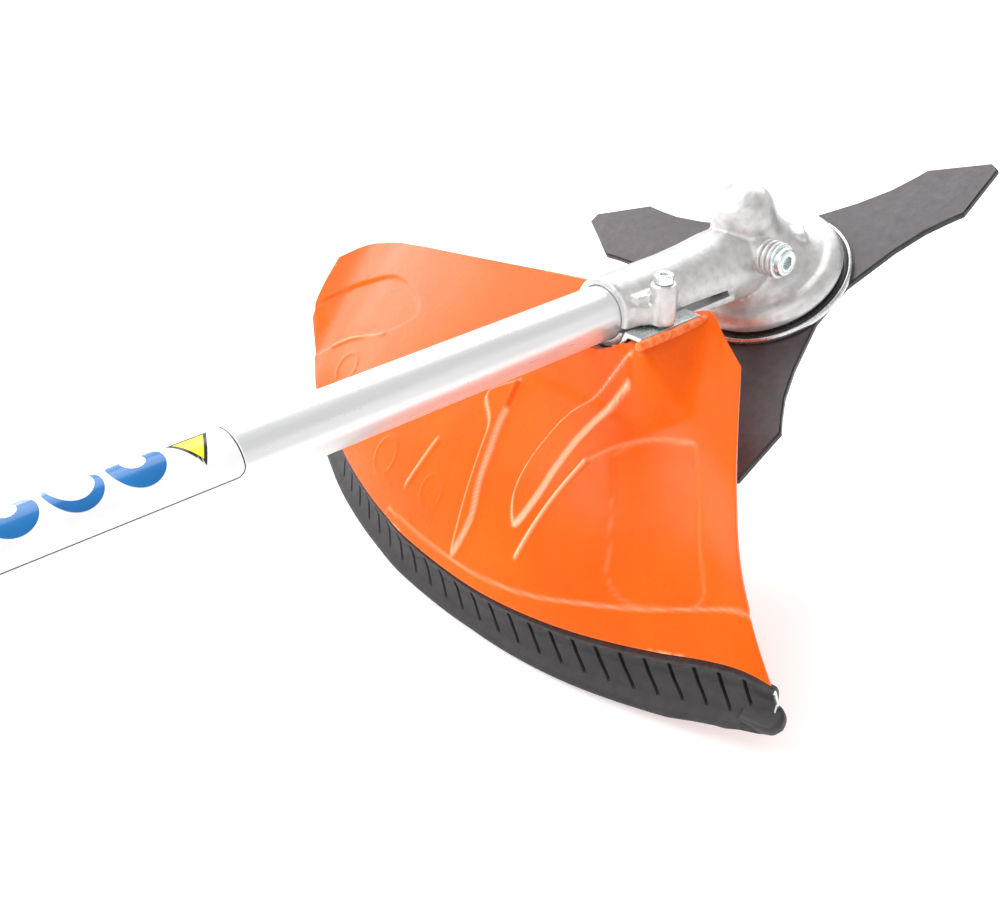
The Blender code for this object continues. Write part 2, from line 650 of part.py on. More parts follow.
def make_handlebar(line):
    right = [(x, -y, z) for x, y, z in (BAR_TIP, *reversed(BAR_CORNERS))][:-1]
    left = [*BAR_CORNERS[1:], BAR_TIP]
    piece("handlebar", sweep(rounded_path(right + left, 0.035, 4), BAR_RADIUS, 2), "black_plastic", line)
    base = rounded_block((BAR_X - 0.022, -0.030, -0.0225), (BAR_X + 0.022, 0.030, BAR_REST - GAP), 0.003, 1)
    base = piece("handlebar_clamp_base", base, "cast_aluminium", line)
    tool(base, rod(TUBE_RADIUS + GAP, BAR_X - 0.05, BAR_X + 0.05, "X", 24))
    tool(base, rod(BAR_RADIUS + GAP, -0.05, 0.05, "Y", 18, (BAR_X, 0, BAR_REST)))
    low = BAR_REST + GAP
    cap = rounded_block((BAR_X - 0.022, -0.030, low), (BAR_X + 0.022, 0.030, BAR_REST + 0.016), 0.003, 1)
    cap = piece("handlebar_clamp_cap", cap, "cast_aluminium", line)
    tool(cap, rod(BAR_RADIUS + GAP, -0.05, 0.05, "Y", 18, (BAR_X, 0, BAR_REST)))
    screw_x = BAR_X + 0.0158
    for part in (base, cap):
        tool(part, rod(0.0036, BAR_REST - 0.0140, BAR_REST + 0.05, "Z", 12, (screw_x, 0, 0)))
    knob = turned(((0.0, BAR_REST + 0.032), (0.0055, BAR_REST + 0.032), (0.0060, BAR_REST + 0.0165),
                   (0.0030, BAR_REST + 0.0165), (0.0030, BAR_REST - 0.0130), (0.0, BAR_REST - 0.0130)),
                  "Z", 12, False, (screw_x, 0, 0))
    knob = piece("clamp_screw_knob", knob, "black_plastic", line, (screw_x, 0, BAR_REST))
    wings = rounded_block((screw_x - 0.0045, -0.0220, BAR_REST + 0.019), (screw_x + 0.0045, 0.0220, BAR_REST + 0.030),
                          0.003, 2)
    tool(knob, wings, "UNION")


def make_left_grip(line):
    grip_frame = bar_tip_frame(1, line)
    outline = ((0.0, -0.0040), (0.0140, -0.0040), (GRIP_RADIUS, -0.0010), (GRIP_RADIUS, 0.020), (0.0150, 0.060),
               (GRIP_RADIUS, 0.105), (0.0215, 0.112), (0.0215, 0.120), (BAR_RADIUS + GAP, 0.120),
               (BAR_RADIUS + GAP, -GAP), (0.0, -GAP))
    piece("left_grip", turned(tuple(reversed(outline)), "X", 18), "black_rubber", grip_frame)


def make_controls(line):
    """Right grip with its throttle trigger, trigger lockout and stop switch."""
    grip_frame = bar_tip_frame(-1, line)
    outline = ((0.0, -0.0040), (0.0140, -0.0040), (GRIP_RADIUS, -0.0010), (GRIP_RADIUS, 0.020), (0.0155, 0.060),
               (0.0165, 0.118), (0.0150, 0.122), (BAR_RADIUS + GAP, 0.122), (BAR_RADIUS + GAP, -GAP), (0.0, -GAP))
    grip = piece("control_grip", turned(tuple(reversed(outline)), "X", 18), "black_plastic", grip_frame)
    pod = rounded_block((0.0820, -0.0170, -0.0300), (0.1200, 0.0170, 0.0215), 0.004, 1)
    tool(grip, pod, "UNION")
    tool(grip, rod(BAR_RADIUS + GAP, -GAP, 0.130, "X", 18))
    tool(grip, block((0.0560, -0.0052, -0.0268), (0.1100, 0.0052, -0.0110)))
    tool(grip, block((0.0560, -0.0052, -0.0310), (0.1010, 0.0052, -0.0200)))
    tool(grip, block((0.0350, -0.0052, 0.0115), (0.0960, 0.0052, 0.0250)))
    tool(grip, block((0.1030, -0.0064, 0.0170), (0.1150, 0.0064, 0.0250)))
    blade = ((0.1085, -0.0135), (0.1085, -0.0180), (0.0960, -0.0245), (0.0870, -0.0400), (0.0700, -0.0420),
             (0.0600, -0.0360), (0.0620, -0.0330), (0.0720, -0.0370), (0.0830, -0.0350), (0.0900, -0.0205),
             (0.0960, -0.0135))
    trigger = turned_by(prism(blade, -0.0048, 0.0048), Matrix.Rotation(math.radians(90.0), 4, "X"))
    piece("throttle_trigger", trigger, "orange_plastic", grip_frame, (0.1030, 0.0, -0.0155))
    latch = ((0.0900, 0.0122), (0.0940, 0.0165), (0.0900, 0.0225), (0.0450, 0.0245), (0.0380, 0.0235),
             (0.0380, 0.0210), (0.0800, 0.0175))
    latch_shape = turned_by(prism(latch, -0.0048, 0.0048), Matrix.Rotation(math.radians(90.0), 4, "X"))
    piece("trigger_lockout_lever", latch_shape, "black_plastic", grip_frame, (0.0900, 0.0, 0.0165))
    switch = rounded_block((0.1060, -0.0055, 0.0175), (0.1120, 0.0055, 0.0250), 0.0012, 1)
    piece("stop_switch", switch, "red_plastic", grip_frame, (0.1090, 0.0, 0.0180))
    return grip_frame


def make_carrying_ring(line):
    band = sleeve(TUBE_RADIUS + GAP, 0.0165, RING_X - 0.011, RING_X + 0.011, "X", 24)
    band = piece("carrying_ring_clamp", band, "zinc_steel", line)
    ear = rounded_block((RING_X - 0.008, -0.0030, 0.0150), (RING_X + 0.008, 0.0030, 0.0330), 0.0012, 1)
    tool(band, ear, "UNION")
    tool(band, rod(TUBE_RADIUS + GAP, RING_X - 0.03, RING_X + 0.03, "X", 24))
    tool(band, rod(0.0032, -0.02, 0.02, "Y", 12, (RING_X, 0, 0.0270)))
    eye = Vector((RING_X, 0.0, 0.0270))
    section = [(0.0125 + 0.0022 * math.cos(a), 0.0022 * math.sin(a)) for a in angles_round(10)]
    ring = turned(section, "X", 28, True, (0.0, 0.0, 0.0118))
    laid_back = Matrix.Translation(eye) @ Matrix.Rotation(-RING_LEAN, 4, "Y")
    piece("carrying_ring", turned_by(ring, laid_back), "zinc_steel", line, eye)


def angles_round(count):
    return [2 * math.pi * k / count for k in range(count)]


# ---------------------------------------------------------------- engine
def make_clutch(line):
    bell = ((0.0, 0.0585), (0.0460, 0.0585), (0.0460, 0.0880), (0.0400, 0.0960), (0.0240, 0.1120), (0.0215, 0.1180),
            (0.0215, 0.1640), (0.0205, 0.1650), (0.0, 0.1650))
    housing = piece("clutch_housing", turned(tuple(reversed(bell)), "X", 28), "black_plastic", line)
    tool(housing, rod(0.0380, 0.0500, 0.0915, "X", 24))
    tool(housing, rod(0.0110, 0.0900, 0.1120, "X", 18))
    tool(housing, rod(TUBE_RADIUS + GAP, 0.1115, 0.1700, "X", 24))
    tool(housing, block((0.1250, -0.0012, 0.0050), (0.1700, 0.0012, 0.0300)))
    drum = ((0.0, 0.0830), (0.0322, 0.0830), (0.0322, 0.0625), (0.0352, 0.0625), (0.0352, 0.0870), (0.0070, 0.0870),
            (0.0070, DRUM_SHAFT_END), (0.0, DRUM_SHAFT_END))
    piece("clutch_drum", turned(drum, "X", 28), "ground_steel", line)
    inner = 0.0125
    outer = 0.0308
    for number, start in ((1, 12.0), (2, 192.0)):
        angles = [math.radians(start + 156.0 * k / 10) for k in range(11)]
        outline = [(outer * math.cos(a), outer * math.sin(a)) for a in angles]
        outline += [(inner * math.cos(a), inner * math.sin(a)) for a in reversed(angles[::2])]
        piece("clutch_shoe_%d" % number, prism(outline, 0.0655, 0.0800, "X"), "ground_steel", line)


def make_crankcase(line):
    case = piece("crankcase", turned(((0.0, 0.0580), (0.0400, 0.0580), (0.0420, 0.0560), (0.0420, -0.0100),
                                      (0.0400, -0.0120), (0.0, -0.0120)), "X", 24), "cast_aluminium", line)
    seat = rounded_block((-0.0110, -0.0340, 0.0), (0.0570, 0.0340, 0.0425), 0.003, 1)
    tool(case, seat, "UNION")
    foot = rounded_block((0.0030, -0.0300, TANK_TOP - CRANK_Z + GAP), (0.0430, 0.0300, -0.0200), 0.003, 1)
    tool(case, foot, "UNION")
    tool(case, rod(0.0320, -0.0020, 0.0480, "X", 24))
    tool(case, rod(MAIN_SHAFT + GAP, -0.05, 0.10, "X", 18))
    tool(case, rod(0.0210, 0.0100, 0.0600, "Z", 24, (CYLINDER_X, 0, 0)))


def make_cylinder(line):
    """Finned barrel, closed at the top, with its spark plug hole and its two ports."""
    outline = [(0.0, 0.1250), (0.0150, 0.1250), (0.0210, 0.1190)]
    height = 0.1160
    for _ in range(5):
        outline += [(0.0350, height), (0.0350, height - 0.0018), (0.0245, height - 0.0022), (0.0245, height - 0.0108)]
        height -= 0.0112
    outline += [(0.0310, 0.0560), (0.0310, 0.0428), (0.0, 0.0428)]
    barrel = piece("cylinder", turned(outline, "Z", 24, False, (CYLINDER_X, 0, 0)), "cast_aluminium", line)
    ports = rounded_block((CYLINDER_X - 0.0140, -0.0395, 0.0440), (CYLINDER_X + 0.0140, 0.0510, 0.0700), 0.002, 1)
    tool(barrel, ports, "UNION")
    tool(barrel, rod(CYLINDER_BORE, 0.0400, 0.0930, "Z", 24, (CYLINDER_X, 0, 0)))
    tool(barrel, rod(0.0055, 0.0900, 0.1300, "Z", 12, (CYLINDER_X, 0, 0)))
    tool(barrel, rod(0.0085, -0.0600, 0.0600, "Y", 14, (CYLINDER_X, 0, 0.0560)))


def make_piston(line):
    crown = CRANK_THROW + ROD_LENGTH + 0.014
    pin = CRANK_THROW + ROD_LENGTH
    cup = ((0.0, crown), (0.0180, crown), (PISTON_RADIUS, crown - 0.0010), (PISTON_RADIUS, crown - 0.0280),
           (0.0175, crown - 0.0280), (0.0175, crown - 0.0040), (0.0, crown - 0.0040))
    piston = piece("piston", turned(cup, "Z", 24, False, (CYLINDER_X, 0, 0)), "cast_aluminium", line)
    tool(piston, rod(0.0045, -0.0190, 0.0190, "X", 12, (CYLINDER_X, 0, pin)), "UNION")
    body = prism(((-0.0045, 0.0080), (0.0045, 0.0080), (0.0035, 0.0530), (-0.0035, 0.0530)), -0.0030, 0.0030)
    turn = Matrix.Rotation(math.radians(90.0), 4, "Z") @ Matrix.Rotation(math.radians(90.0), 4, "X")
    link = piece("connecting_rod", turned_by(body, Matrix.Translation((CYLINDER_X, 0, CRANK_THROW)) @ turn),
                 "ground_steel", line)
    tool(link, rod(0.0105, -0.0040, 0.0040, "X", 18, (CYLINDER_X, 0, CRANK_THROW)), "UNION")
    tool(link, rod(0.0080, -0.0040, 0.0040, "X", 18, (CYLINDER_X, 0, pin)), "UNION")
    tool(link, rod(CRANK_PIN_RADIUS + GAP, -0.0200, 0.0200, "X", 14, (CYLINDER_X, 0, CRANK_THROW)))
    tool(link, rod(0.0048, -0.0200, 0.0200, "X", 14, (CYLINDER_X, 0, pin)))


def make_crankshaft(line):
    """Built-up crankshaft: two half shafts with their round webs, and the crank pin that stands between them."""
    web_gap = (0.0160, 0.0300)
    web_ends = (0.0060, 0.0400)
    rear = ((0.0, -0.0600), (MAIN_SHAFT, -0.0600), (MAIN_SHAFT, web_ends[0]), (WEB_RADIUS, web_ends[0]),
            (WEB_RADIUS, web_gap[0]), (0.0, web_gap[0]))
    piece("crankshaft_rear_half", turned(rear, "X", 20), "ground_steel", line)
    front = ((0.0, web_gap[1]), (WEB_RADIUS, web_gap[1]), (WEB_RADIUS, web_ends[1]), (MAIN_SHAFT, web_ends[1]),
             (MAIN_SHAFT, 0.0610), (0.0240, 0.0610), (0.0240, 0.0650), (0.0115, 0.0650), (0.0115, 0.0810),
             (MAIN_SHAFT, 0.0820), (0.0, 0.0820))
    piece("crankshaft_front_half", turned(front, "X", 20), "ground_steel", line)
    pin = rod(CRANK_PIN_RADIUS, web_gap[0] + GAP, web_gap[1] - GAP, "X", 14, (0, 0, CRANK_THROW))
    piece("crank_pin", pin, "ground_steel", line)


def cooling_vane():
    return block((-0.0520, 0.0190, -0.0010), (-0.0390, 0.0440, 0.0010))


def make_flywheel(line):
    disc = ((MAIN_SHAFT + GAP, -0.0180), (0.0440, -0.0180), (0.0450, -0.0190), (0.0450, -0.0400),
            (0.0180, -0.0400), (0.0160, -0.0520), (MAIN_SHAFT + GAP, -0.0520))
    wheel = piece("flywheel", turned(disc, "X", 28, True), "cast_aluminium", line)
    tool(wheel, around(cooling_vane, 10, "X", 0.2), "UNION")
    coil = rounded_block((-0.0400, -0.0170, 0.0460), (-0.0200, 0.0170, 0.0535), 0.0015, 1)
    piece("ignition_coil", coil, "black_plastic", line)


def make_plug_and_boot(line):
    outline = ((0.0, 0.1500), (0.0040, 0.1500), (0.0045, 0.1350), (0.0090, 0.1345), (0.0090, 0.1256), (0.0052, 0.1254),
               (0.0052, 0.1000), (0.0, 0.0990))
    piece("spark_plug", turned(outline, "Z", 14, False, (CYLINDER_X, 0, 0)), "ceramic", line)
    boot = ((0.0, 0.1600), (0.0070, 0.1600), (0.0085, 0.1585), (0.0085, 0.1370), (0.0049, 0.1370), (0.0049, 0.1503),
            (0.0, 0.1503))
    piece("spark_plug_boot", turned(boot, "Z", 14, False, (CYLINDER_X, 0, 0)), "black_rubber", line)


def make_shroud(line):
    """Hood over the cylinder head, open below, with cooling slots on both sides."""
    hood = rounded_block((-0.0300, -0.0440, 0.0880), (0.0640, 0.0440, 0.1720), 0.010, 2)
    hood = piece("engine_cover", hood, "orange_plastic", line)
    tool(hood, rounded_block((-0.0275, -0.0415, 0.0700), (0.0615, 0.0415, 0.1690), 0.008, 1))
    slots = [block((-0.0120 + 0.0125 * k, -0.0600, 0.1080), (-0.0060 + 0.0125 * k, 0.0600, 0.1420)) for k in range(5)]
    tool(hood, together(slots))


def make_fuel_system(line):
    carb = piece("carburettor", rounded_block((0.0080, 0.0515, 0.0380), (0.0400, 0.0830, 0.0740), 0.002, 1),
                 "cast_aluminium", line)
    tool(carb, rod(0.0070, 0.0400, 0.1000, "Y", 18, (CYLINDER_X, 0, 0.0560)))
    tool(carb, rod(0.0088, 0.0350, 0.0500, "X", 14, (0, 0.0720, 0.0480)))
    bulb = turned(((0.0, 0.0450), (0.0040, 0.0442), (0.0072, 0.0420), (0.0082, 0.0390), (0.0082, 0.0385), (0.0, 0.0385)),
                  "X", 14, False, (0, 0.0720, 0.0480))
    piece("primer_bulb", bulb, "clear_plastic", line, (0.0385, 0.0720, 0.0480))
    lever_place = (0.0240, 0.0670, 0.0745)
    lever = rounded_block((0.0200, 0.0640, 0.0745), (0.0440, 0.0700, 0.0765), 0.0008, 1)
    piece("carburettor_throttle_lever", lever, "zinc_steel", line, lever_place)
    choke = rounded_block((0.0050, 0.0560, 0.0500), (0.0076, 0.0640, 0.0850), 0.0010, 1)
    piece("choke_lever", choke, "black_plastic", line, (0.0063, 0.0600, 0.0540))
    foam = piece("air_filter_element", rounded_block((-0.0040, 0.0870, 0.0290), (0.0520, 0.1060, 0.0830), 0.003, 1),
                 "filter_foam", line)
    tool(foam, block((0.0100, 0.0700, 0.0420), (0.0360, 0.0990, 0.0700)))
    cover = rounded_block((-0.0120, 0.0835, 0.0200), (0.0600, 0.1250, 0.0900), 0.008, 2)
    cover = piece("air_filter_cover", cover, "black_plastic", line)
    tool(cover, rounded_block((-0.0095, 0.0865, 0.0225), (0.0575, 0.1225, 0.0875), 0.006, 1))
    tool(cover, rod(0.0120, 0.0700, 0.0900, "Y", 18, (CYLINDER_X, 0, 0.0560)))
    slots = [block((0.0000 + 0.0100 * k, 0.1000, 0.0100), (0.0050 + 0.0100 * k, 0.1180, 0.0300)) for k in range(5)]
    tool(cover, together(slots))


def make_muffler(line):
    box = rounded_block((-0.0030, -0.0980, 0.0360), (0.0490, -0.0400, 0.0860), 0.006, 2)
    box = piece("muffler", box, "zinc_steel", line)
    tool(box, rounded_block((-0.0012, -0.0962, 0.0378), (0.0472, -0.0418, 0.0842), 0.005, 1))
    tool(box, rod(0.0085, -0.0450, -0.0350, "Y", 14, (CYLINDER_X, 0, 0.0560)))
    tool(box, rod(0.0060, 0.0400, 0.0600, "X", 12, (0, -0.0800, 0.0560)))


def starter_slot():
    return block((-0.1100, 0.0360, -0.0022), (-0.0900, 0.0500, 0.0022))


def make_starter(line):
    """Recoil starter behind the flywheel: its slotted housing, the rope reel and the pull grip."""
    shell = ((0.0, -0.1000), (0.0540, -0.1000), (0.0590, -0.0950), (0.0610, -0.0800), (0.0610, -0.0150),
             (0.0580, -0.0150), (0.0580, -0.0800), (0.0560, -0.0940), (0.0530, -0.0970), (0.0, -0.0970))
    housing = piece("starter_housing", turned(tuple(reversed(shell)), "X", 28), "black_plastic", line)
    tool(housing, around(starter_slot, 10, "X"))
    tool(housing, rod(0.0075, 0.0330, 0.0640, "Z", 14, (-0.0780, -0.0300, 0.0)), "UNION")
    tool(housing, rod(0.0026, 0.0200, 0.0700, "Z", 12, (-0.0780, -0.0300, 0.0)))
    tool(housing, rod(0.0567, -0.0900, -0.0155, "X", 28))
    tool(housing, rod(0.0050, -0.0990, -0.0640, "X", 14), "UNION")
    reel = ((0.0053, -0.0700), (0.0300, -0.0700), (0.0300, -0.0720), (0.0220, -0.0730), (0.0220, -0.0810),
            (0.0300, -0.0820), (0.0300, -0.0840), (0.0053, -0.0840))
    piece("starter_reel", turned(reel, "X", 24, True), "grey_plastic", line)
    pull = rounded_block((-0.1000, -0.0370, 0.0650), (-0.0560, -0.0230, 0.0790), 0.005, 1)
    pull = piece("starter_grip", pull, "black_rubber", line, (-0.0780, -0.0300, 0.0720))
    tool(pull, rod(0.0022, 0.0500, 0.0720, "Z", 12, (-0.0780, -0.0300, 0.0)))


def make_tank(base):
    """Hollow fuel tank whose flat underside is the machine's rest, with its filler neck and cap on the left."""
    half_x, half_y = TANK_HALF
    tank = piece("fuel_tank", rounded_block((-half_x, -half_y, 0.0), (half_x, half_y, TANK_TOP), 0.009, 2),
                 "clear_plastic", base)
    neck = rod(0.0170, half_y - 0.001, half_y + 0.0080, "Y", 20, (0.050, 0, 0.050))
    tool(tank, neck, "UNION")
    wall = TANK_WALL
    tool(tank, rounded_block((-half_x + wall, -half_y + wall, wall), (half_x - wall, half_y - wall, TANK_TOP - wall),
                             0.007, 2))
    tool(tank, rod(0.0125, half_y - 0.010, half_y + 0.020, "Y", 18, (0.050, 0, 0.050)))
    cap = ((0.0, half_y - 0.0060), (0.0120, half_y - 0.0060), (0.0120, half_y + 0.0083), (0.0200, half_y + 0.0083),
           (0.0205, half_y + 0.0090), (0.0205, half_y + 0.0200), (0.0190, half_y + 0.0220), (0.0, half_y + 0.0220))
    cap = turned(tuple(reversed(cap)), "Y", 20, False, (0.050, 0, 0.050))
    cap = piece("fuel_cap", cap, "black_plastic", base, (0.050, half_y + 0.012, 0.050))
    bar = rounded_block((0.0340, half_y + 0.0210, 0.0465), (0.0660, half_y + 0.0270, 0.0535), 0.002, 1)
    tool(cap, bar, "UNION")


def build():
    base = frame("engine_base", (0.0, 0.0, 0.0))
    line = frame("shaft_line", (0.0, 0.0, CRANK_Z), parent=base)
    head = frame("gear_head", (HEAD_X, 0.0, HEAD_Z), (0.0, -BEND, 0.0), base)
    make_head(head, line)
    make_tube(line)
    make_handlebar(line)
    make_left_grip(line)
    make_controls(line)
    make_carrying_ring(line)
    make_clutch(line)
    make_crankcase(line)
    make_cylinder(line)
    make_piston(line)
    make_crankshaft(line)
    make_flywheel(line)
    make_plug_and_boot(line)
    make_shroud(line)
    make_fuel_system(line)
    make_muffler(line)
    make_starter(line)
    make_tank(base)


build()
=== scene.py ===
"""Looks for the brush cutter: camera, studio, materials and fine surfaces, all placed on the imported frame.

Metres. The cutting end is described in the head's own frame: +Z up the output shaft, +X away from the engine,
its origin in the middle of the knife's upper face.
"""

import math

import bmesh
import bpy
import numpy as np
from mathutils import Matrix, Vector


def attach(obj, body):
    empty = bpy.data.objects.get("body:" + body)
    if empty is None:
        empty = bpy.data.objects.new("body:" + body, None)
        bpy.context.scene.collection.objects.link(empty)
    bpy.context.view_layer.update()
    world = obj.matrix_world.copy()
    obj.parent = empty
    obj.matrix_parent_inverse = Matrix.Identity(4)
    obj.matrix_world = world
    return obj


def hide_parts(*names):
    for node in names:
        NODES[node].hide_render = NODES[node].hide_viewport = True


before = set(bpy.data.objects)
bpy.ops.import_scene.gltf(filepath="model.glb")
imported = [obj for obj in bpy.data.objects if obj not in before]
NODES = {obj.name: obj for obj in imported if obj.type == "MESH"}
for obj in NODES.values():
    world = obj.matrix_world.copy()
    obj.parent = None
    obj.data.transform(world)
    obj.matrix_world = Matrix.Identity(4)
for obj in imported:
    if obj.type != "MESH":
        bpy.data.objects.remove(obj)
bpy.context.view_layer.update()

# ------------------------------------------------------------ the head's own frame
BEND = math.radians(30.0)
HEAD = Matrix.Translation((1.550, 0.0, 0.1326)) @ Matrix.Rotation(-BEND, 4, "Y")
AXIS_RISE = 0.021
TUBE_RADIUS = 0.0127
COLLAR_RADIUS = 0.0162
COLLAR_END = 0.1106
SCREW_S = 0.093
SCREW_Y = 0.0215
# Takes shapes with +Z out of the filler boss into the head frame.
PLUG_PLACE = Matrix.Translation((-0.0105, 0.0, 0.0350)) @ Matrix.Rotation(math.pi / 2, 4, "X")
MACHINE = "machine"


def tube_matrix():
    """Places shapes with +Z back along the tube, +X up from it and +Y to the left, in the head's frame."""
    back = Vector((-math.cos(BEND), 0.0, math.sin(BEND)))
    above = Vector((math.sin(BEND), 0.0, math.cos(BEND)))
    turn = Matrix((above, (0.0, 1.0, 0.0), back)).transposed().to_4x4()
    return Matrix.Translation((0.0, 0.0, AXIS_RISE)) @ turn


TUBE = tube_matrix()


# ------------------------------------------------------------ camera and studio
def make_camera():
    """The camera, placed in the head's own frame."""
    data = bpy.data.cameras.new("camera")
    data.sensor_width = 36.0
    data.lens = 52.66
    data.clip_start = 0.01
    camera = bpy.data.objects.new("camera", data)
    bpy.context.scene.collection.objects.link(camera)
    place = HEAD @ Vector((-0.34819, -0.42352, 0.52485))
    turn = HEAD.to_3x3()
    forward = (turn @ Vector((0.26949773, 0.65359921, -0.70723338))).normalized()
    upward = (turn @ Vector((0.72500839, 0.34566156, 0.59571883))).normalized()
    right = forward.cross(upward).normalized()
    upward = right.cross(forward)
    rotation = Matrix((right, upward, -forward)).transposed()
    camera.matrix_world = Matrix.Translation(place) @ rotation.to_4x4()
    bpy.context.scene.camera = camera


def make_world():
    """White near the horizon, as a studio sweep is, and darker overhead."""
    world = bpy.data.worlds.new("studio")
    bpy.context.scene.world = world
    world.use_nodes = True
    nodes = world.node_tree.nodes
    links = world.node_tree.links
    place = nodes.new("ShaderNodeTexCoord")
    split = nodes.new("ShaderNodeSeparateXYZ")
    ramp = nodes.new("ShaderNodeValToRGB")
    links.new(place.outputs["Generated"], split.inputs[0])
    links.new(split.outputs["Z"], ramp.inputs[0])
    links.new(ramp.outputs[0], nodes["Background"].inputs["Color"])
    stops = ((0.0, 0.92), (0.22, 1.0), (0.38, 0.92), (0.56, 0.58), (1.0, 0.58))
    ramp.color_ramp.elements.remove(ramp.color_ramp.elements[1])
    for k, (height, level) in enumerate(stops):
        stop = ramp.color_ramp.elements[0] if k == 0 else ramp.color_ramp.elements.new(height)
        stop.position = height
        stop.color = (level, level, level, 1.0)
    nodes["Background"].inputs["Strength"].default_value = 1.0


def make_studio():
    """Large soft lamps round the cutting end, one over the engine, and the floor."""
    scene = bpy.context.scene
    scene.view_settings.view_transform = "Standard"
    make_world()
    lamps = (
        ("key_light", (1.45, 1.15, 1.75), (1.45, 0.0, 0.08), 1.9, 22.0),
        ("fill_light", (0.20, -1.30, 1.30), (1.40, 0.0, 0.10), 1.6, 7.0),
        ("rim_light", (2.60, 0.60, 1.10), (1.40, 0.0, 0.10), 1.2, 9.0),
        ("back_light", (1.35, 2.60, 0.75), (1.40, 0.10, 0.10), 1.6, 22.0),
        ("engine_light", (-0.40, 0.90, 1.80), (0.05, 0.0, 0.12), 1.5, 34.0),
    )
    for name, place, target, size, power in lamps:
        lamp = bpy.data.lights.new(name, "AREA")
        lamp.shape = "DISK"
        lamp.size = size
        lamp.energy = power
        holder = bpy.data.objects.new(name, lamp)
        holder.visible_camera = False
        scene.collection.objects.link(holder)
        aim = Vector(target) - Vector(place)
        holder.matrix_world = Matrix.Translation(place) @ aim.to_track_quat("-Z", "Y").to_matrix().to_4x4()
    shape = bmesh.new()
    bmesh.ops.create_circle(shape, cap_ends=True, segments=64, radius=9.0)
    floor = object_from("studio_floor", shape)
    floor.location = (0.9, 0.0, -0.0004)
    floor.data.materials.append(plain_floor())


def plain_floor():
    """A matt and nearly white finish, faintly lit by itself so that shadows stay light."""
    made = bpy.data.materials.new("pale_floor")
    made.use_nodes = True
    shader = made.node_tree.nodes["Principled BSDF"]
    shader.inputs["Base Color"].default_value = (0.95, 0.95, 0.95, 1.0)
    shader.inputs["Roughness"].default_value = 0.9
    shader.inputs["Specular IOR Level"].default_value = 0.1
    shader.inputs["Emission Color"].default_value = (1.0, 1.0, 1.0, 1.0)
    shader.inputs["Emission Strength"].default_value = 0.20
    return made


# ------------------------------------------------------------ materials
def add_noise(made, scale, detail, stretch):
    """A noise in the object's own metres, drawn out along an axis where the stretch is small."""
    nodes = made.node_tree.nodes
    links = made.node_tree.links
    place = nodes.get("place") or nodes.new("ShaderNodeTexCoord")
    place.name = "place"
    mapping = nodes.new("ShaderNodeMapping")
    mapping.inputs["Scale"].default_value = stretch
    noise = nodes.new("ShaderNodeTexNoise")
    noise.inputs["Scale"].default_value = scale
    noise.inputs["Detail"].default_value = detail
    noise.inputs["Roughness"].default_value = 0.55
    links.new(place.outputs["Object"], mapping.inputs["Vector"])
    links.new(mapping.outputs[0], noise.inputs["Vector"])
    return noise.outputs["Fac"]


def add_ramp(made, source, stops):
    """Turns a value into a colour by stops of (place, colour)."""
    ramp = made.node_tree.nodes.new("ShaderNodeValToRGB")
    elements = ramp.color_ramp.elements
    elements[0].position, elements[1].position = stops[0][0], stops[-1][0]
    elements[0].color = (*stops[0][1], 1.0)
    elements[1].color = (*stops[-1][1], 1.0)
    for place, colour in stops[1:-1]:
        elements.new(place).color = (*colour, 1.0)
    made.node_tree.links.new(source, ramp.inputs[0])
    return ramp.outputs[0]


def add_range(made, source, low, high):
    """Spreads the middle of a noise over a range of values."""
    spread = made.node_tree.nodes.new("ShaderNodeMapRange")
    spread.inputs["From Min"].default_value = 0.3
    spread.inputs["From Max"].default_value = 0.7
    spread.inputs["To Min"].default_value = low
    spread.inputs["To Max"].default_value = high
    made.node_tree.links.new(source, spread.inputs["Value"])
    return spread.outputs[0]


def add_edge_wear_and_highlight(made, colour_source, wear_and_highlight_colour, amount):
    """Lightens raised edges towards a lighter colour, broken up by a noise: wear on most finishes, a painted
    highlight on the orange.
    """
    nodes = made.node_tree.nodes
    links = made.node_tree.links
    geometry = nodes.new("ShaderNodeNewGeometry")
    edges = add_range(made, geometry.outputs["Pointiness"], 0.0, amount)
    edges.node.inputs["From Min"].default_value = 0.52
    edges.node.inputs["From Max"].default_value = 0.60
    breaks = add_range(made, add_noise(made, 350.0, 3.0, (1, 1, 1)), 0.0, 1.0)
    share = nodes.new("ShaderNodeMath")
    share.operation = "MULTIPLY"
    links.new(edges, share.inputs[0])
    links.new(breaks, share.inputs[1])
    mix = nodes.new("ShaderNodeMix")
    mix.data_type = "RGBA"
    mix.inputs[7].default_value = (*wear_and_highlight_colour, 1.0)
    links.new(share.outputs[0], mix.inputs[0])
    links.new(colour_source, mix.inputs[6])
    return mix.outputs[2]


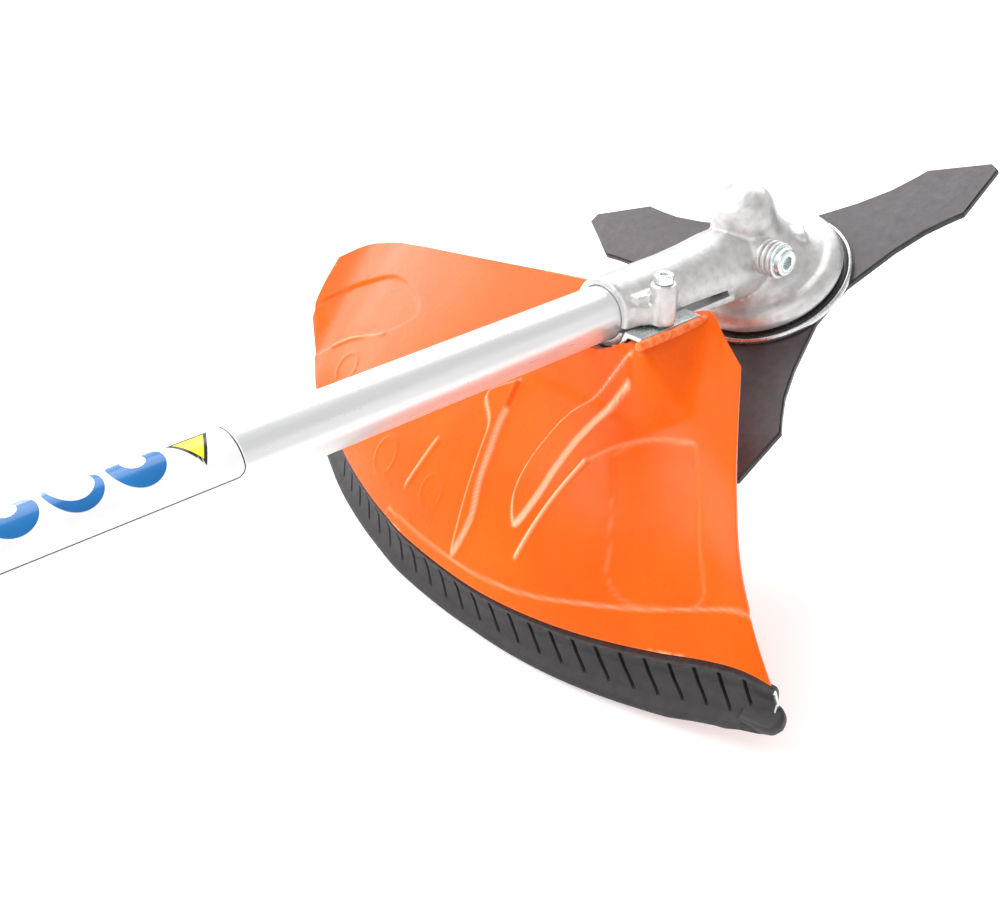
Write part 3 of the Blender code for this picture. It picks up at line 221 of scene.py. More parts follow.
def finish(name, dark, light, roughness, metallic=0.0, grain=60.0, bump=0.1, bump_scale=900.0,
           bump_depth=0.0004, stretch=(1, 1, 1), wear_and_highlight_colour=None, wear_and_highlight_amount=0.5, coat=0.0, specular=0.5, sheen=0.0):
    """A procedural finish: mottled colour, uneven gloss, a fine surface bump and, where given, lighter edges:
    worn ones, and painted highlights on the orange.
    """
    made = bpy.data.materials.new(name)
    made.use_nodes = True
    nodes = made.node_tree.nodes
    links = made.node_tree.links
    shader = nodes["Principled BSDF"]
    shader.inputs["Metallic"].default_value = metallic
    shader.inputs["Specular IOR Level"].default_value = specular
    shader.inputs["Sheen Weight"].default_value = sheen
    shader.inputs["Sheen Roughness"].default_value = 0.35
    shader.inputs["Coat Weight"].default_value = coat
    shader.inputs["Coat Roughness"].default_value = 0.08
    colour = add_ramp(made, add_noise(made, grain, 5.0, stretch), ((0.3, dark), (0.7, light)))
    if wear_and_highlight_colour:
        colour = add_edge_wear_and_highlight(made, colour, wear_and_highlight_colour, wear_and_highlight_amount)
    links.new(colour, shader.inputs["Base Color"])
    gloss = add_range(made, add_noise(made, grain * 2.3, 4.0, stretch), *roughness)
    links.new(gloss, shader.inputs["Roughness"])
    relief = nodes.new("ShaderNodeBump")
    relief.inputs["Strength"].default_value = bump
    relief.inputs["Distance"].default_value = bump_depth
    links.new(add_noise(made, bump_scale, 6.0, stretch), relief.inputs["Height"])
    links.new(relief.outputs[0], shader.inputs["Normal"])
    return made


def add_marked_highlight(made, mark, wear_and_highlight_colour, amount):
    """Lightens the base colour where a mesh carries the named mark: a painted highlight."""
    nodes = made.node_tree.nodes
    links = made.node_tree.links
    shader = nodes["Principled BSDF"]
    source = shader.inputs["Base Color"].links[0].from_socket
    highlight_mask = nodes.new("ShaderNodeAttribute")
    highlight_mask.attribute_name = mark
    share = nodes.new("ShaderNodeMath")
    share.operation = "MULTIPLY"
    share.inputs[1].default_value = amount
    mix = nodes.new("ShaderNodeMix")
    mix.data_type = "RGBA"
    mix.inputs[7].default_value = (*wear_and_highlight_colour, 1.0)
    links.new(highlight_mask.outputs["Fac"], share.inputs[0])
    links.new(share.outputs[0], mix.inputs[0])
    links.new(source, mix.inputs[6])
    links.new(mix.outputs[2], shader.inputs["Base Color"])


def grey(level, blue=0.0):
    """A grey, with a little more blue where asked."""
    return (level, level, level + blue)


def make_finishes():
    """All of the finishes by a short name."""
    along_x = (0.06, 1.0, 1.0)
    made = {
        # The orange's lighter raised edges are a painted highlight.
        "orange": finish("moulded_orange", (0.80, 0.096, 0.0), (0.88, 0.114, 0.0), (0.24, 0.32), grain=35.0,
                         bump=0.08, bump_scale=420.0, bump_depth=0.0003, wear_and_highlight_colour=(1.0, 0.50, 0.22), wear_and_highlight_amount=0.8,
                         specular=0.16, sheen=0.22),
        "black": finish("moulded_black", (0.020, 0.019, 0.020), (0.036, 0.034, 0.036), (0.38, 0.52),
                        grain=70.0, bump=0.25, bump_scale=1500.0, wear_and_highlight_colour=grey(0.09), wear_and_highlight_amount=0.4),
        "skirt": finish("skirt_black", (0.013, 0.011, 0.012), (0.026, 0.023, 0.024), (0.42, 0.58), grain=90.0,
                        bump=0.30, bump_scale=1300.0, wear_and_highlight_colour=grey(0.10), wear_and_highlight_amount=0.5),
        "rubber": finish("grip_rubber", grey(0.014), grey(0.028), (0.60, 0.78), grain=80.0, bump=0.5,
                         bump_scale=1800.0, bump_depth=0.0006),
        "grey": finish("moulded_grey", grey(0.13), grey(0.18), (0.42, 0.56), bump=0.2, bump_scale=1300.0),
        "red": finish("switch_red", (0.50, 0.012, 0.008), (0.68, 0.030, 0.018), (0.30, 0.42), bump=0.15),
        "cast": finish("cast_aluminium", (0.52, 0.51, 0.505), (0.68, 0.67, 0.66), (0.32, 0.44), 0.66, 240.0,
                       0.28, 1300.0, 0.0004, wear_and_highlight_colour=grey(0.95), wear_and_highlight_amount=0.6),
        "tube": finish("satin_tube", (0.77, 0.775, 0.775), (0.83, 0.835, 0.835), (0.27, 0.33), 0.62, 200.0,
                       0.02, 400.0, 0.00005, along_x),
        "zinc": finish("zinc_steel", (0.52, 0.58, 0.58), (0.76, 0.82, 0.82), (0.20, 0.34), 0.92, 180.0, 0.12,
                       1300.0, wear_and_highlight_colour=grey(0.95), wear_and_highlight_amount=0.5),
        "ground": finish("ground_steel", grey(0.50, 0.01), grey(0.74, 0.01), (0.18, 0.30), 0.95, 200.0, 0.10,
                         1500.0, wear_and_highlight_colour=grey(0.92), wear_and_highlight_amount=0.5),
        "knife": finish("knife_paint", (0.060, 0.050, 0.056), (0.078, 0.067, 0.074), (0.34, 0.44), 0.15,
                        160.0, 0.15, 1400.0, 0.0002, wear_and_highlight_colour=grey(0.30), wear_and_highlight_amount=0.25),
        "knife_edge": finish("knife_edge", grey(0.030), grey(0.060), (0.28, 0.40), 0.6, 300.0, 0.15, 1600.0),
        "foam": finish("filter_foam", grey(0.02), grey(0.07), (0.85, 0.98), grain=900.0, bump=0.9,
                       bump_scale=1500.0, bump_depth=0.001),
        "ceramic": finish("glazed_ceramic", grey(0.78), grey(0.88), (0.10, 0.18), bump=0.05, coat=0.4),
        "tank": finish("milky_tank", (0.70, 0.70, 0.64), (0.82, 0.82, 0.77), (0.28, 0.40), grain=40.0,
                       bump=0.12, bump_scale=500.0),
        "label_white": finish("label_white", grey(0.88), grey(0.94), (0.20, 0.28), bump=0.03, coat=0.3),
        "label_black": finish("label_black", grey(0.010), grey(0.022), (0.22, 0.30), bump=0.03, coat=0.3),
        "label_blue": finish("label_blue", (0.002, 0.13, 0.40), (0.004, 0.18, 0.50), (0.20, 0.28), bump=0.03,
                             coat=0.3),
        "label_yellow": finish("label_yellow", (0.86, 0.74, 0.03), (0.95, 0.84, 0.06), (0.20, 0.28),
                               bump=0.03, coat=0.3),
    }
    # Painted highlights along the guard's rib edges and ridge crests, in a pale orange.
    add_marked_highlight(made["orange"], "painted_rib_highlight", (1.0, 0.66, 0.40), 0.95)
    made["tank"].node_tree.nodes["Principled BSDF"].inputs["Transmission Weight"].default_value = 0.35
    return made


# ------------------------------------------------------------ mesh helpers
def object_from(name, shape):
    """A new object in the scene from a working shape, which is freed."""
    mesh = bpy.data.meshes.new(name)
    shape.to_mesh(mesh)
    shape.free()
    made = bpy.data.objects.new(name, mesh)
    bpy.context.scene.collection.objects.link(made)
    return made


def dress(made, sharp, *finish_names):
    """Gives an object its finishes and smooth faces, with edges sharp where they turn past an angle."""
    made.data.materials.clear()
    for finish_name in finish_names:
        made.data.materials.append(FINISHES[finish_name])
    made.data.shade_smooth()
    made.data.set_sharp_from_angle(angle=math.radians(sharp))


def fine_piece(name, shape, finish_name, body=MACHINE, replaces=(), sharp=38.0, matrix=None):
    """A visible piece with its finish, its body and the CAD nodes that it stands for."""
    if matrix is not None:
        bmesh.ops.transform(shape, matrix=matrix, verts=shape.verts)
    bmesh.ops.recalc_face_normals(shape, faces=shape.faces)
    made = object_from(name, shape)
    dress(made, sharp, finish_name)
    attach(made, body)
    if replaces:
        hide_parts(*replaces)
    return made


def turned(outline, segments=48, ring=False):
    """Revolves (radius, height) points about Z. A ring's outline closes on itself, off the axis."""
    shape = bmesh.new()
    points = [shape.verts.new((radius, 0.0, height)) for radius, height in outline]
    edges = [shape.edges.new(pair) for pair in zip(points, points[1:])]
    if ring:
        edges.append(shape.edges.new((points[-1], points[0])))
    bmesh.ops.spin(shape, geom=points + edges, cent=(0, 0, 0), axis=(0, 0, 1), angle=2 * math.pi,
                   steps=segments, use_merge=True)
    bmesh.ops.remove_doubles(shape, verts=shape.verts, dist=1e-6)
    return shape


def prism(points, low, high):
    """Pushes a flat outline from one height to another."""
    shape = bmesh.new()
    face = shape.faces.new([shape.verts.new((x, y, low)) for x, y in points])
    grown = bmesh.ops.extrude_face_region(shape, geom=[face])
    moved = [item for item in grown["geom"] if isinstance(item, bmesh.types.BMVert)]
    bmesh.ops.translate(shape, vec=(0, 0, high - low), verts=moved)
    bmesh.ops.recalc_face_normals(shape, faces=shape.faces)
    return shape


def block(low, high, radius=0.0, segments=2):
    """A box between two corners, its edges rounded where a radius is given."""
    shape = bmesh.new()
    bmesh.ops.create_cube(shape, size=1.0)
    bmesh.ops.scale(shape, vec=[b - a for a, b in zip(low, high)], verts=shape.verts)
    bmesh.ops.translate(shape, vec=[(a + b) / 2 for a, b in zip(low, high)], verts=shape.verts)
    if radius:
        bmesh.ops.bevel(shape, geom=list(shape.edges), offset=radius, segments=segments, profile=0.5,
                        affect="EDGES")
    return shape


def grid_shape(points, closed_rows=False):
    """A sheet of quads through a table of points."""
    shape = bmesh.new()
    rows = [[shape.verts.new(point) for point in row] for row in points]
    for first, second in zip(rows, rows[1:]):
        count = len(first)
        for k in range(count if closed_rows else count - 1):
            after = (k + 1) % count
            shape.faces.new((first[k], first[after], second[after], second[k]))
    if closed_rows:
        shape.faces.new(rows[0])
        shape.faces.new(rows[-1])
    return shape


def boolean(target, shape, operation, matrix=None):
    """Adds a shape to an object, or cuts it away, and keeps the result."""
    if matrix is not None:
        bmesh.ops.transform(shape, matrix=matrix, verts=shape.verts)
    bmesh.ops.recalc_face_normals(shape, faces=shape.faces)
    other = object_from("operand", shape)
    step = target.modifiers.new("boolean", "BOOLEAN")
    step.operation = operation
    step.solver = "EXACT"
    step.object = other
    settle(target)
    bpy.data.objects.remove(other, do_unlink=True)


def settle(target):
    """Applies all of an object's modifiers to its mesh."""
    bpy.context.view_layer.update()
    evaluated = target.evaluated_get(bpy.context.evaluated_depsgraph_get())
    mesh = bpy.data.meshes.new_from_object(evaluated)
    target.modifiers.clear()
    old = target.data
    target.data = mesh
    bpy.data.meshes.remove(old)


def smooth_group():
    """A modifier's node group: smooth faces, with edges kept sharp where they turn by over 33 degrees."""
    tree = bpy.data.node_groups.new("smooth_by_angle", "GeometryNodeTree")
    tree.is_modifier = True
    tree.interface.new_socket("Geometry", in_out="INPUT", socket_type="NodeSocketGeometry")
    tree.interface.new_socket("Geometry", in_out="OUTPUT", socket_type="NodeSocketGeometry")
    start = tree.nodes.new("NodeGroupInput")
    end = tree.nodes.new("NodeGroupOutput")
    plain = tree.nodes.new("GeometryNodeRemoveAttribute")
    plain.inputs["Name"].default_value = "custom_normal"
    faces = tree.nodes.new("GeometryNodeSetShadeSmooth")
    edges = tree.nodes.new("GeometryNodeSetShadeSmooth")
    edges.domain = "EDGE"
    edges.inputs["Shade Smooth"].default_value = False
    angle = tree.nodes.new("GeometryNodeInputMeshEdgeAngle")
    steep = tree.nodes.new("FunctionNodeCompare")
    steep.operation = "GREATER_THAN"
    steep.inputs[1].default_value = math.radians(33.0)
    tree.links.new(start.outputs[0], plain.inputs["Geometry"])
    tree.links.new(plain.outputs[0], faces.inputs["Geometry"])
    tree.links.new(faces.outputs[0], edges.inputs["Geometry"])
    tree.links.new(angle.outputs["Unsigned Angle"], steep.inputs[0])
    tree.links.new(steep.outputs[0], edges.inputs["Selection"])
    tree.links.new(edges.outputs[0], end.inputs[0])
    return tree


def smooth_node(node, width):
    """Shades a carried-over node smooth across its facets and rounds its edges."""
    merge = node.modifiers.new("weld", "WELD")
    merge.merge_threshold = 0.00001
    smooth = node.modifiers.new("smooth", "NODES")
    smooth.node_group = SMOOTH
    if width:
        round_edges(node, width)


def round_edges(target, width, segments=2, angle=35.0):
    """Rounds an object's sharp edges without changing its mesh."""
    bevel = target.modifiers.new("round", "BEVEL")
    bevel.width = width
    bevel.segments = segments
    bevel.limit_method = "ANGLE"
    bevel.angle_limit = math.radians(angle)
    bevel.harden_normals = False
    bevel.use_clamp_overlap = True
    smooth = target.modifiers.new("normals", "WEIGHTED_NORMAL")
    smooth.keep_sharp = True


# ------------------------------------------------------------ debris guard
GUARD_WALL = 0.0022
PAD_UP = -0.0069
PAD_HALF_WIDTH = 0.0290
PAD_END = 0.1165
GROOVE_END = 0.1138
PAD_BACK_X = PAD_END * math.cos(BEND) - PAD_UP * math.sin(BEND)
GROOVE_RADIUS = 0.0206
# Each station runs from the guard's upper edge to its lower rim, from the near side round to the far side.
GUARD_STATIONS = (
    ((-0.0775, -0.0570, 0.0450), (-0.187, -0.141, 0.003)),
    ((-0.0685, -0.0420, 0.0475), (-0.189, -0.126, 0.0055)),
    ((-0.0605, -0.0290, 0.0500), (-0.193, -0.108, 0.0035)),
    ((-0.0640, -0.0215, 0.0500), (-0.199, -0.088, 0.0010)),
    ((-0.0640, -0.0080, 0.0500), (-0.211, -0.043, 0.0)),
    ((-0.0640, 0.0080, 0.0500), (-0.217, 0.006, 0.0)),
    ((-0.0640, 0.0290, 0.0500), (-0.213, 0.070, 0.0)),
    ((-0.0660, 0.0600, 0.0470), (-0.208, 0.093, 0.0)),
    ((-0.0690, 0.1050, 0.0415), (-0.201, 0.118, 0.0)),
    ((-0.0705, 0.1500, 0.0340), (-0.191, 0.145, 0.0)),
    ((-0.0705, 0.1900, 0.0255), (-0.178, 0.171, 0.001)),
    ((-0.0715, 0.2200, 0.0180), (-0.166, 0.197, 0.003)),
    ((-0.0785, 0.2385, 0.0150), (-0.148, 0.2166, 0.006)),
    ((-0.0922, 0.2464, 0.0165), (-0.131, 0.2357, 0.010)),
)
# Spacing of the shell's columns by arc length from its near end: finest where the ribs are.
COLUMN_STEPS = ((0.0, 0.085, 56), (0.085, 0.230, 230), (0.230, 1.0, 92))
GUARD_LINES = 120
# The near edge is cut back along the shell between its ends: share of the way down, and how far.
WAIST_SHARES = np.array((0.0, 0.25, 0.50, 0.75, 0.90, 1.0))
WAIST_CUTS = np.array((0.0, 0.0045, 0.0080, 0.0085, 0.0040, 0.0))[:, None]
WAIST_REACH = 0.060

# Raised leaf beside the tube, and the broad rib on its other side: outlines in plan, with a height.
LEAF = ((-0.106, -0.0245), (-0.118, -0.0105), (-0.131, 0.003), (-0.149, 0.009), (-0.164, 0.0115),
        (-0.178, 0.010), (-0.186, 0.004), (-0.174, -0.0015), (-0.157, -0.0045), (-0.140, -0.0080),
        (-0.127, -0.0130), (-0.1145, -0.0250))
BROAD_RIB = ((-0.128, 0.0420), (-0.140, 0.0560), (-0.152, 0.0450), (-0.167, 0.0416), (-0.181, 0.0394),
             (-0.196, 0.0372), (-0.2095, 0.0350), (-0.194, 0.0300), (-0.175, 0.0343), (-0.165, 0.0357),
             (-0.154, 0.0380), (-0.143, 0.0395))
PANEL = ((-0.140, -0.0285), (-0.130, -0.0370), (-0.1257, -0.0447), (-0.1215, -0.0546), (-0.1200, -0.0617),
         (-0.125, -0.0665), (-0.140, -0.0775), (-0.157, -0.0889), (-0.174, -0.0993), (-0.185, -0.0800),
         (-0.189, -0.0616), (-0.186, -0.0541), (-0.1736, -0.0474), (-0.157, -0.0389))
FAR_PANEL = ((-0.134, 0.243), (-0.118, 0.2325), (-0.108, 0.225), (-0.100, 0.212), (-0.093, 0.191),
             (-0.098, 0.165), (-0.112, 0.145), (-0.127, 0.161), (-0.136, 0.192), (-0.146, 0.208),
             (-0.156, 0.226))
STEP = ((-0.205, 0.090), (-0.2095, 0.060), (-0.2115, 0.035), (-0.2105, 0.000), (-0.2070, -0.020),
        (-0.200, -0.043), (-0.189, -0.073), (-0.177, -0.101), (-0.170, -0.122), (-0.240, -0.170),
        (-0.280, 0.0), (-0.260, 0.120))
PLATEAUS = ((LEAF, 0.0026, 0.0012), (BROAD_RIB, 0.0026, 0.0020), (PANEL, -0.0005, 0.0018),
            (FAR_PANEL, -0.0016, 0.0026), (STEP, 0.0013, 0.0016))
# How strongly each of those outlines shows as a painted highlight along its edge.
PLATEAU_HIGHLIGHTS = (1.0, 0.75, 0.12, 0.0, 0.30)
# Narrow ridges: a line in plan, a height, half a width and how strongly the crest shows as a painted
# highlight.
RIDGES = (
    (((-0.1480, -0.0165), (-0.1560, -0.0140), (-0.1639, -0.0115), (-0.1809, -0.0069), (-0.1970, -0.0033)),
     0.0015, 0.0018, 0.9),
    (((-0.1200, -0.0617), (-0.1257, -0.0447), (-0.1367, -0.0274), (-0.1480, -0.0165)), 0.0004, 0.0016, 0.25),
    (((-0.1693, 0.0730), (-0.1807, 0.0771), (-0.1922, 0.0820)), 0.0015, 0.0022, 0.5),
    (((-0.1420, 0.2017), (-0.1364, 0.1917), (-0.1274, 0.1612)), 0.0012, 0.0024, 0.5),
)
# Plain moulded rings: centre in plan and radius.
RINGS = (((-0.1848, 0.1071), 0.0085), ((-0.1905, 0.0626), 0.0075), ((-0.1511, 0.1770), 0.0085))
RING_HALF_WIDTH = 0.0013
RING_HEIGHT = 0.0004
# How far the painted highlight spreads from an outline, and from the crest of a ridge.
HIGHLIGHT_SPREAD = 0.0007
RIDGE_HIGHLIGHT_SPREAD = 0.0008


def smooth_max(first, second, blend):
    """The larger of two values, with the change from one to the other rounded off."""
    return 0.5 * (first + second + np.sqrt((first - second) ** 2 + blend**2))


def curve_through(knots, points, places):
    """Catmull-Rom values of a row of points at the given places."""
    index = np.clip(np.searchsorted(knots, places, side="right") - 1, 0, len(knots) - 2)
    slopes = np.gradient(points, knots, axis=0)
    span = (knots[index + 1] - knots[index])[:, None]
    share = ((places - knots[index]) / (knots[index + 1] - knots[index]))[:, None]
    a, b = points[index], points[index + 1]
    sa, sb = slopes[index] * span, slopes[index + 1] * span
    s2, s3 = share**2, share**3
    return (2 * s3 - 3 * s2 + 1) * a + (s3 - 2 * s2 + share) * sa + (3 * s2 - 2 * s3) * b + (s3 - s2) * sb


def guard_lines():
    """Knots along the guard with its upper edge and its rim."""
    tops = np.array([top for top, _ in GUARD_STATIONS])
    rims = np.array([rim for _, rim in GUARD_STATIONS])
    middles = (tops + rims) / 2
    knots = np.concatenate(([0.0], np.cumsum(np.linalg.norm(np.diff(middles, axis=0), axis=1))))
    return knots, tops, rims


def segment_distance(x, y, line, closed=False):
    """Distance in plan from each point to a line of straight pieces."""
    best = np.full(x.shape, 1.0)
    ends = list(zip(line, line[1:]))
    if closed:
        ends.append((line[-1], line[0]))
    for (ax, ay), (bx, by) in ends:
        dx, dy = bx - ax, by - ay
        share = np.clip(((x - ax) * dx + (y - ay) * dy) / (dx * dx + dy * dy), 0.0, 1.0)
        best = np.minimum(best, np.hypot(x - ax - share * dx, y - ay - share * dy))
    return best


def inside_outline(x, y, outline):
    """Whether each point lies inside a closed outline in plan."""
    inside = np.zeros(x.shape, bool)
    for (ax, ay), (bx, by) in zip(outline, outline[1:] + outline[:1]):
        crosses = (ay > y) != (by > y)
        at = ax + (y - ay) * (bx - ax) / ((by - ay) if by != ay else 1e-9)
        inside ^= crosses & (x < at)
    return inside


def rounded_line(line, steps=6):
    """A smooth line through the given points."""
    points = np.array(line)
    knots = np.concatenate(([0.0], np.cumsum(np.linalg.norm(np.diff(points, axis=0), axis=1))))
    smooth = curve_through(knots, points, np.linspace(0.0, knots[-1], steps * len(points)))
    return [tuple(point) for point in smooth]


def guard_relief(x, y):
    """Height of the moulded ribs, panel, step and rings above the plain shell."""
    relief = np.zeros(x.shape)
    for outline, height, slope in PLATEAUS:
        smooth = rounded_line(outline + outline[:1])[:-1]
        distance = segment_distance(x, y, smooth, True)
        signed = np.where(inside_outline(x, y, smooth), distance, -distance)
        share = np.clip(signed / slope + 0.5, 0.0, 1.0)
        relief += height * share * share * (3 - 2 * share)
    for line, height, half_width, _ in RIDGES:
        share = np.clip(1.0 - segment_distance(x, y, rounded_line(line)) / half_width, 0.0, 1.0)
        relief += height * share * share * (3 - 2 * share)
    for (cx, cy), radius in RINGS:
        share = np.clip(1.0 - np.abs(np.hypot(x - cx, y - cy) - radius) / RING_HALF_WIDTH, 0.0, 1.0)
        relief += RING_HEIGHT * share * share * (3 - 2 * share)
    return relief


def guard_highlights(x, y):
    """How strongly each point carries a painted highlight: strongest along the edges of ribs and the crests
    of ridges.
    """
    highlights = np.zeros(x.shape)
    for (outline, _, _), strength in zip(PLATEAUS, PLATEAU_HIGHLIGHTS):
        distance = segment_distance(x, y, rounded_line(outline))
        highlights = np.maximum(highlights, strength * np.exp(-((distance / HIGHLIGHT_SPREAD) ** 2)))
    for line, _, _, strength in RIDGES:
        distance = segment_distance(x, y, rounded_line(line))
        highlights = np.maximum(highlights, strength * np.exp(-((distance / RIDGE_HIGHLIGHT_SPREAD) ** 2)))
    return highlights


def guard_height(x, y, height):
    """Raises the shell to its mounting pad beside the tube and sinks it under the collar and the tube."""
    pad = AXIS_RISE + (PAD_UP - x * math.sin(BEND)) / math.cos(BEND)
    side = smooth_max(np.abs(y) - PAD_HALF_WIDTH, 0.0, 0.002)
    behind = smooth_max(-x - PAD_BACK_X, 0.0, 0.002)
    raised = smooth_max(height, pad - np.hypot(1.5 * side, 2.2 * behind), 0.0060)
    up = x * math.sin(BEND) + (raised - AXIS_RISE) * math.cos(BEND)
    distance = -x * math.cos(BEND) + (raised - AXIS_RISE) * math.sin(BEND)
    reach = GROOVE_RADIUS - 0.0060 * np.clip((distance - GROOVE_END) / 0.0030, 0.0, 1.0)
    edge = 0.94
    round_part = -np.sqrt(np.maximum(reach**2 - np.minimum(np.abs(y), edge * reach) ** 2, 0.0))
    limit = round_part + np.maximum(np.abs(y) - edge * reach, 0.0) * 2.8
    up = -smooth_max(-up, -limit, 0.0010)
    return AXIS_RISE + (up - x * math.sin(BEND)) / math.cos(BEND)


def make_guard_rails():
    """Raised rims of the guard along both sides of the bracket."""
    for side, name in ((-1, "guard_rail_near"), (1, "guard_rail_far")):
        rail = block((-0.0082, min(side * 0.0266, side * 0.0300), 0.0700),
                     (-0.0044, max(side * 0.0266, side * 0.0300), 0.1165), 0.0008, 2)
        fine_piece(name, rail, "orange", MACHINE, (), 60.0, HEAD @ TUBE)


def make_guard():
    """The guard as one thin shell through its stations, with its relief and the painted highlights along its
    ribs and ridges.
    """
    knots, tops, rims = guard_lines()
    share = np.linspace(0.0, 1.0, GUARD_LINES)[None, :]
    waist = curve_through(WAIST_SHARES, WAIST_CUTS, share[0])[:, 0][None, :]
    spans = [np.linspace(low, min(high, knots[-1]), count, endpoint=False)
             for low, high, count in COLUMN_STEPS]
    places = np.concatenate(spans + [[knots[-1]]])[:, None]
    places = places + waist * np.maximum(0.0, 1.0 - places / WAIST_REACH)
    top = curve_through(knots, tops, places.ravel()).reshape(places.shape + (3,))
    rim = curve_through(knots, rims, places.ravel()).reshape(places.shape + (3,))
    x = top[..., 0] + (rim[..., 0] - top[..., 0]) * share
    y = top[..., 1] + (rim[..., 1] - top[..., 1]) * share
    z = top[..., 2] + (rim[..., 2] - top[..., 2]) * (0.25 * share + 0.75 * share**3)
    z = guard_height(x, y, z)
    fade = np.clip(share / 0.06, 0.0, 1.0) * np.clip(places / 0.006, 0.0, 1.0)
    z = z + guard_relief(x, y) * fade
    points = np.stack((x, y, z), axis=-1)
    shell = fine_piece("guard_shell", grid_shape(points.tolist()), "orange", MACHINE, ("debris_guard",),
                       60.0, HEAD)
    # Painted highlight strength at each point, read by the orange finish.
    highlight_mask = shell.data.attributes.new("painted_rib_highlight", "FLOAT", "POINT")
    highlight_mask.data.foreach_set("value", (guard_highlights(x, y) * fade).ravel())
    upward = shell.data.polygons[0].normal.z > 0
    wall = shell.modifiers.new("wall", "SOLIDIFY")
    wall.thickness = GUARD_WALL
    wall.offset = -1.0 if upward else 1.0
    wall.use_even_offset = False
    lip = shell.modifiers.new("lip", "BEVEL")
    lip.width = 0.0006
    lip.segments = 2
    lip.limit_method = "ANGLE"
    lip.angle_limit = math.radians(60.0)


# ------------------------------------------------------------ edge strip
SKIRT_END_STATION = 10
SKIRT_TOE = 0.0010
SKIRT_BASE = -GUARD_WALL
# Section: outwards from the rim, up, how deep the grooves are there, and how far they slant along the rim.
SKIRT_SECTION = (
    (-0.0018, -0.0008, 0.0, 0.0), (0.0006, -0.0002, 0.0, 0.0), (0.0013, -0.0008, 0.0, 0.0),
    (0.0015, -0.0016, 1.0, 0.0), (0.0019, -0.0045, 1.0, 0.0), (0.0024, -0.0068, 1.0, 0.0),
    (0.0030, -0.0076, 1.0, 0.0006), (0.0054, -0.0096, 1.0, 0.0036), (0.0078, -0.0114, 1.0, 0.0064),
    (0.0082, -0.0117, 0.0, 0.0067), (0.0108, -0.0129, 0.0, 0.0), (0.0124, -0.0136, 0.0, 0.0),
    (0.0131, -0.0144, 0.0, 0.0), (0.0125, -0.0152, 0.0, 0.0), (0.0096, -0.0148, 0.0, 0.0),
    (0.0050, -0.0131, 0.0, 0.0), (0.0006, -0.0094, 0.0, 0.0), (-0.0018, -0.0040, 0.0, 0.0),
)
# Length from the strip's near end, and how much wider and deeper than its section the strip is there.
SKIRT_GROWTH = ((0.0, 1.15, 1.05), (0.02, 1.40, 1.28), (0.05, 1.45, 1.30), (0.10, 1.25, 1.16),
                (0.16, 1.0, 1.0))
GROOVE_START = 0.0135
GROOVE_PITCH = 0.0125
GROOVE_WIDTH = 0.0015
GROOVE_DEPTH = 0.0016
GROOVE_FLANK = 0.0003
TOE_ROUNDING = 0.006
# The near and far lengths of the strip that have no grooves, over which the slant also grows.
PLAIN_END = 0.012


def rim_track():
    """Arc length along the rim with its points, from the near toe to the far end of the strip."""
    knots, _, rims = guard_lines()
    dense = curve_through(knots, rims, np.linspace(0.0, knots[SKIRT_END_STATION], 300))
    toe = dense[0] + (dense[0] - dense[1]) / np.linalg.norm(dense[0] - dense[1]) * SKIRT_TOE
    dense = np.vstack((toe[None, :], dense))
    length = np.concatenate(([0.0], np.cumsum(np.linalg.norm(np.diff(dense, axis=0), axis=1))))
    return length, dense


def rim_place(length, dense, at):
    """Point and outward direction at a length along the rim, carried straight on past its ends."""
    inside = min(max(at, 0.0), length[-1])
    step = 0.002
    point = np.array([np.interp(inside, length, dense[:, k]) for k in range(3)])
    low, high = max(inside - step, 0.0), min(inside + step, length[-1])
    along = np.array([np.interp(high, length, dense[:, k]) - np.interp(low, length, dense[:, k])
                      for k in range(3)])
    along /= np.linalg.norm(along)
    return point + along * (at - inside), np.array((-along[1], along[0], 0.0))


def make_skirt():
    """The edge strip, swept along the rim with its grooves."""
    length, dense = rim_track()
    columns = [(0.0, 0.0), (0.0015, 0.0), (0.0035, 0.0)]
    count = int((length[-1] - PLAIN_END) / GROOVE_PITCH)
    half = GROOVE_WIDTH / 2
    for k in range(count):
        middle = GROOVE_START + k * GROOVE_PITCH
        columns += [(middle - half - GROOVE_FLANK, 0.0), (middle - half, 1.0), (middle + half, 1.0),
                    (middle + half + GROOVE_FLANK, 0.0), (middle + GROOVE_PITCH / 2, 0.0)]
    columns.append((length[-1], 0.0))
    growth_at, widths, depths = np.array(SKIRT_GROWTH).T
    rows = []
    for at, groove in columns:
        toe = min(at / TOE_ROUNDING, 1.0)
        shrink = 1.0 - 0.10 * (1.0 - math.sqrt(1.0 - (1.0 - toe) ** 2))
        wider = np.interp(at, growth_at, widths)
        deeper = np.interp(at, growth_at, depths)
        row = []
        for out, up, deep, slant in SKIRT_SECTION:
            point, outward = rim_place(length, dense, at - slant * min(1.0, at / PLAIN_END))
            inward = groove * deep * GROOVE_DEPTH
            place = point + outward * (out * wider * shrink - inward)
            row.append((place[0], place[1], place[2] + SKIRT_BASE + up * deeper * shrink - 0.4 * inward))
        rows.append(row)
    fine_piece("edge_strip", grid_shape(rows, True), "skirt", MACHINE, ("guard_skirt",),
               28.0, HEAD)


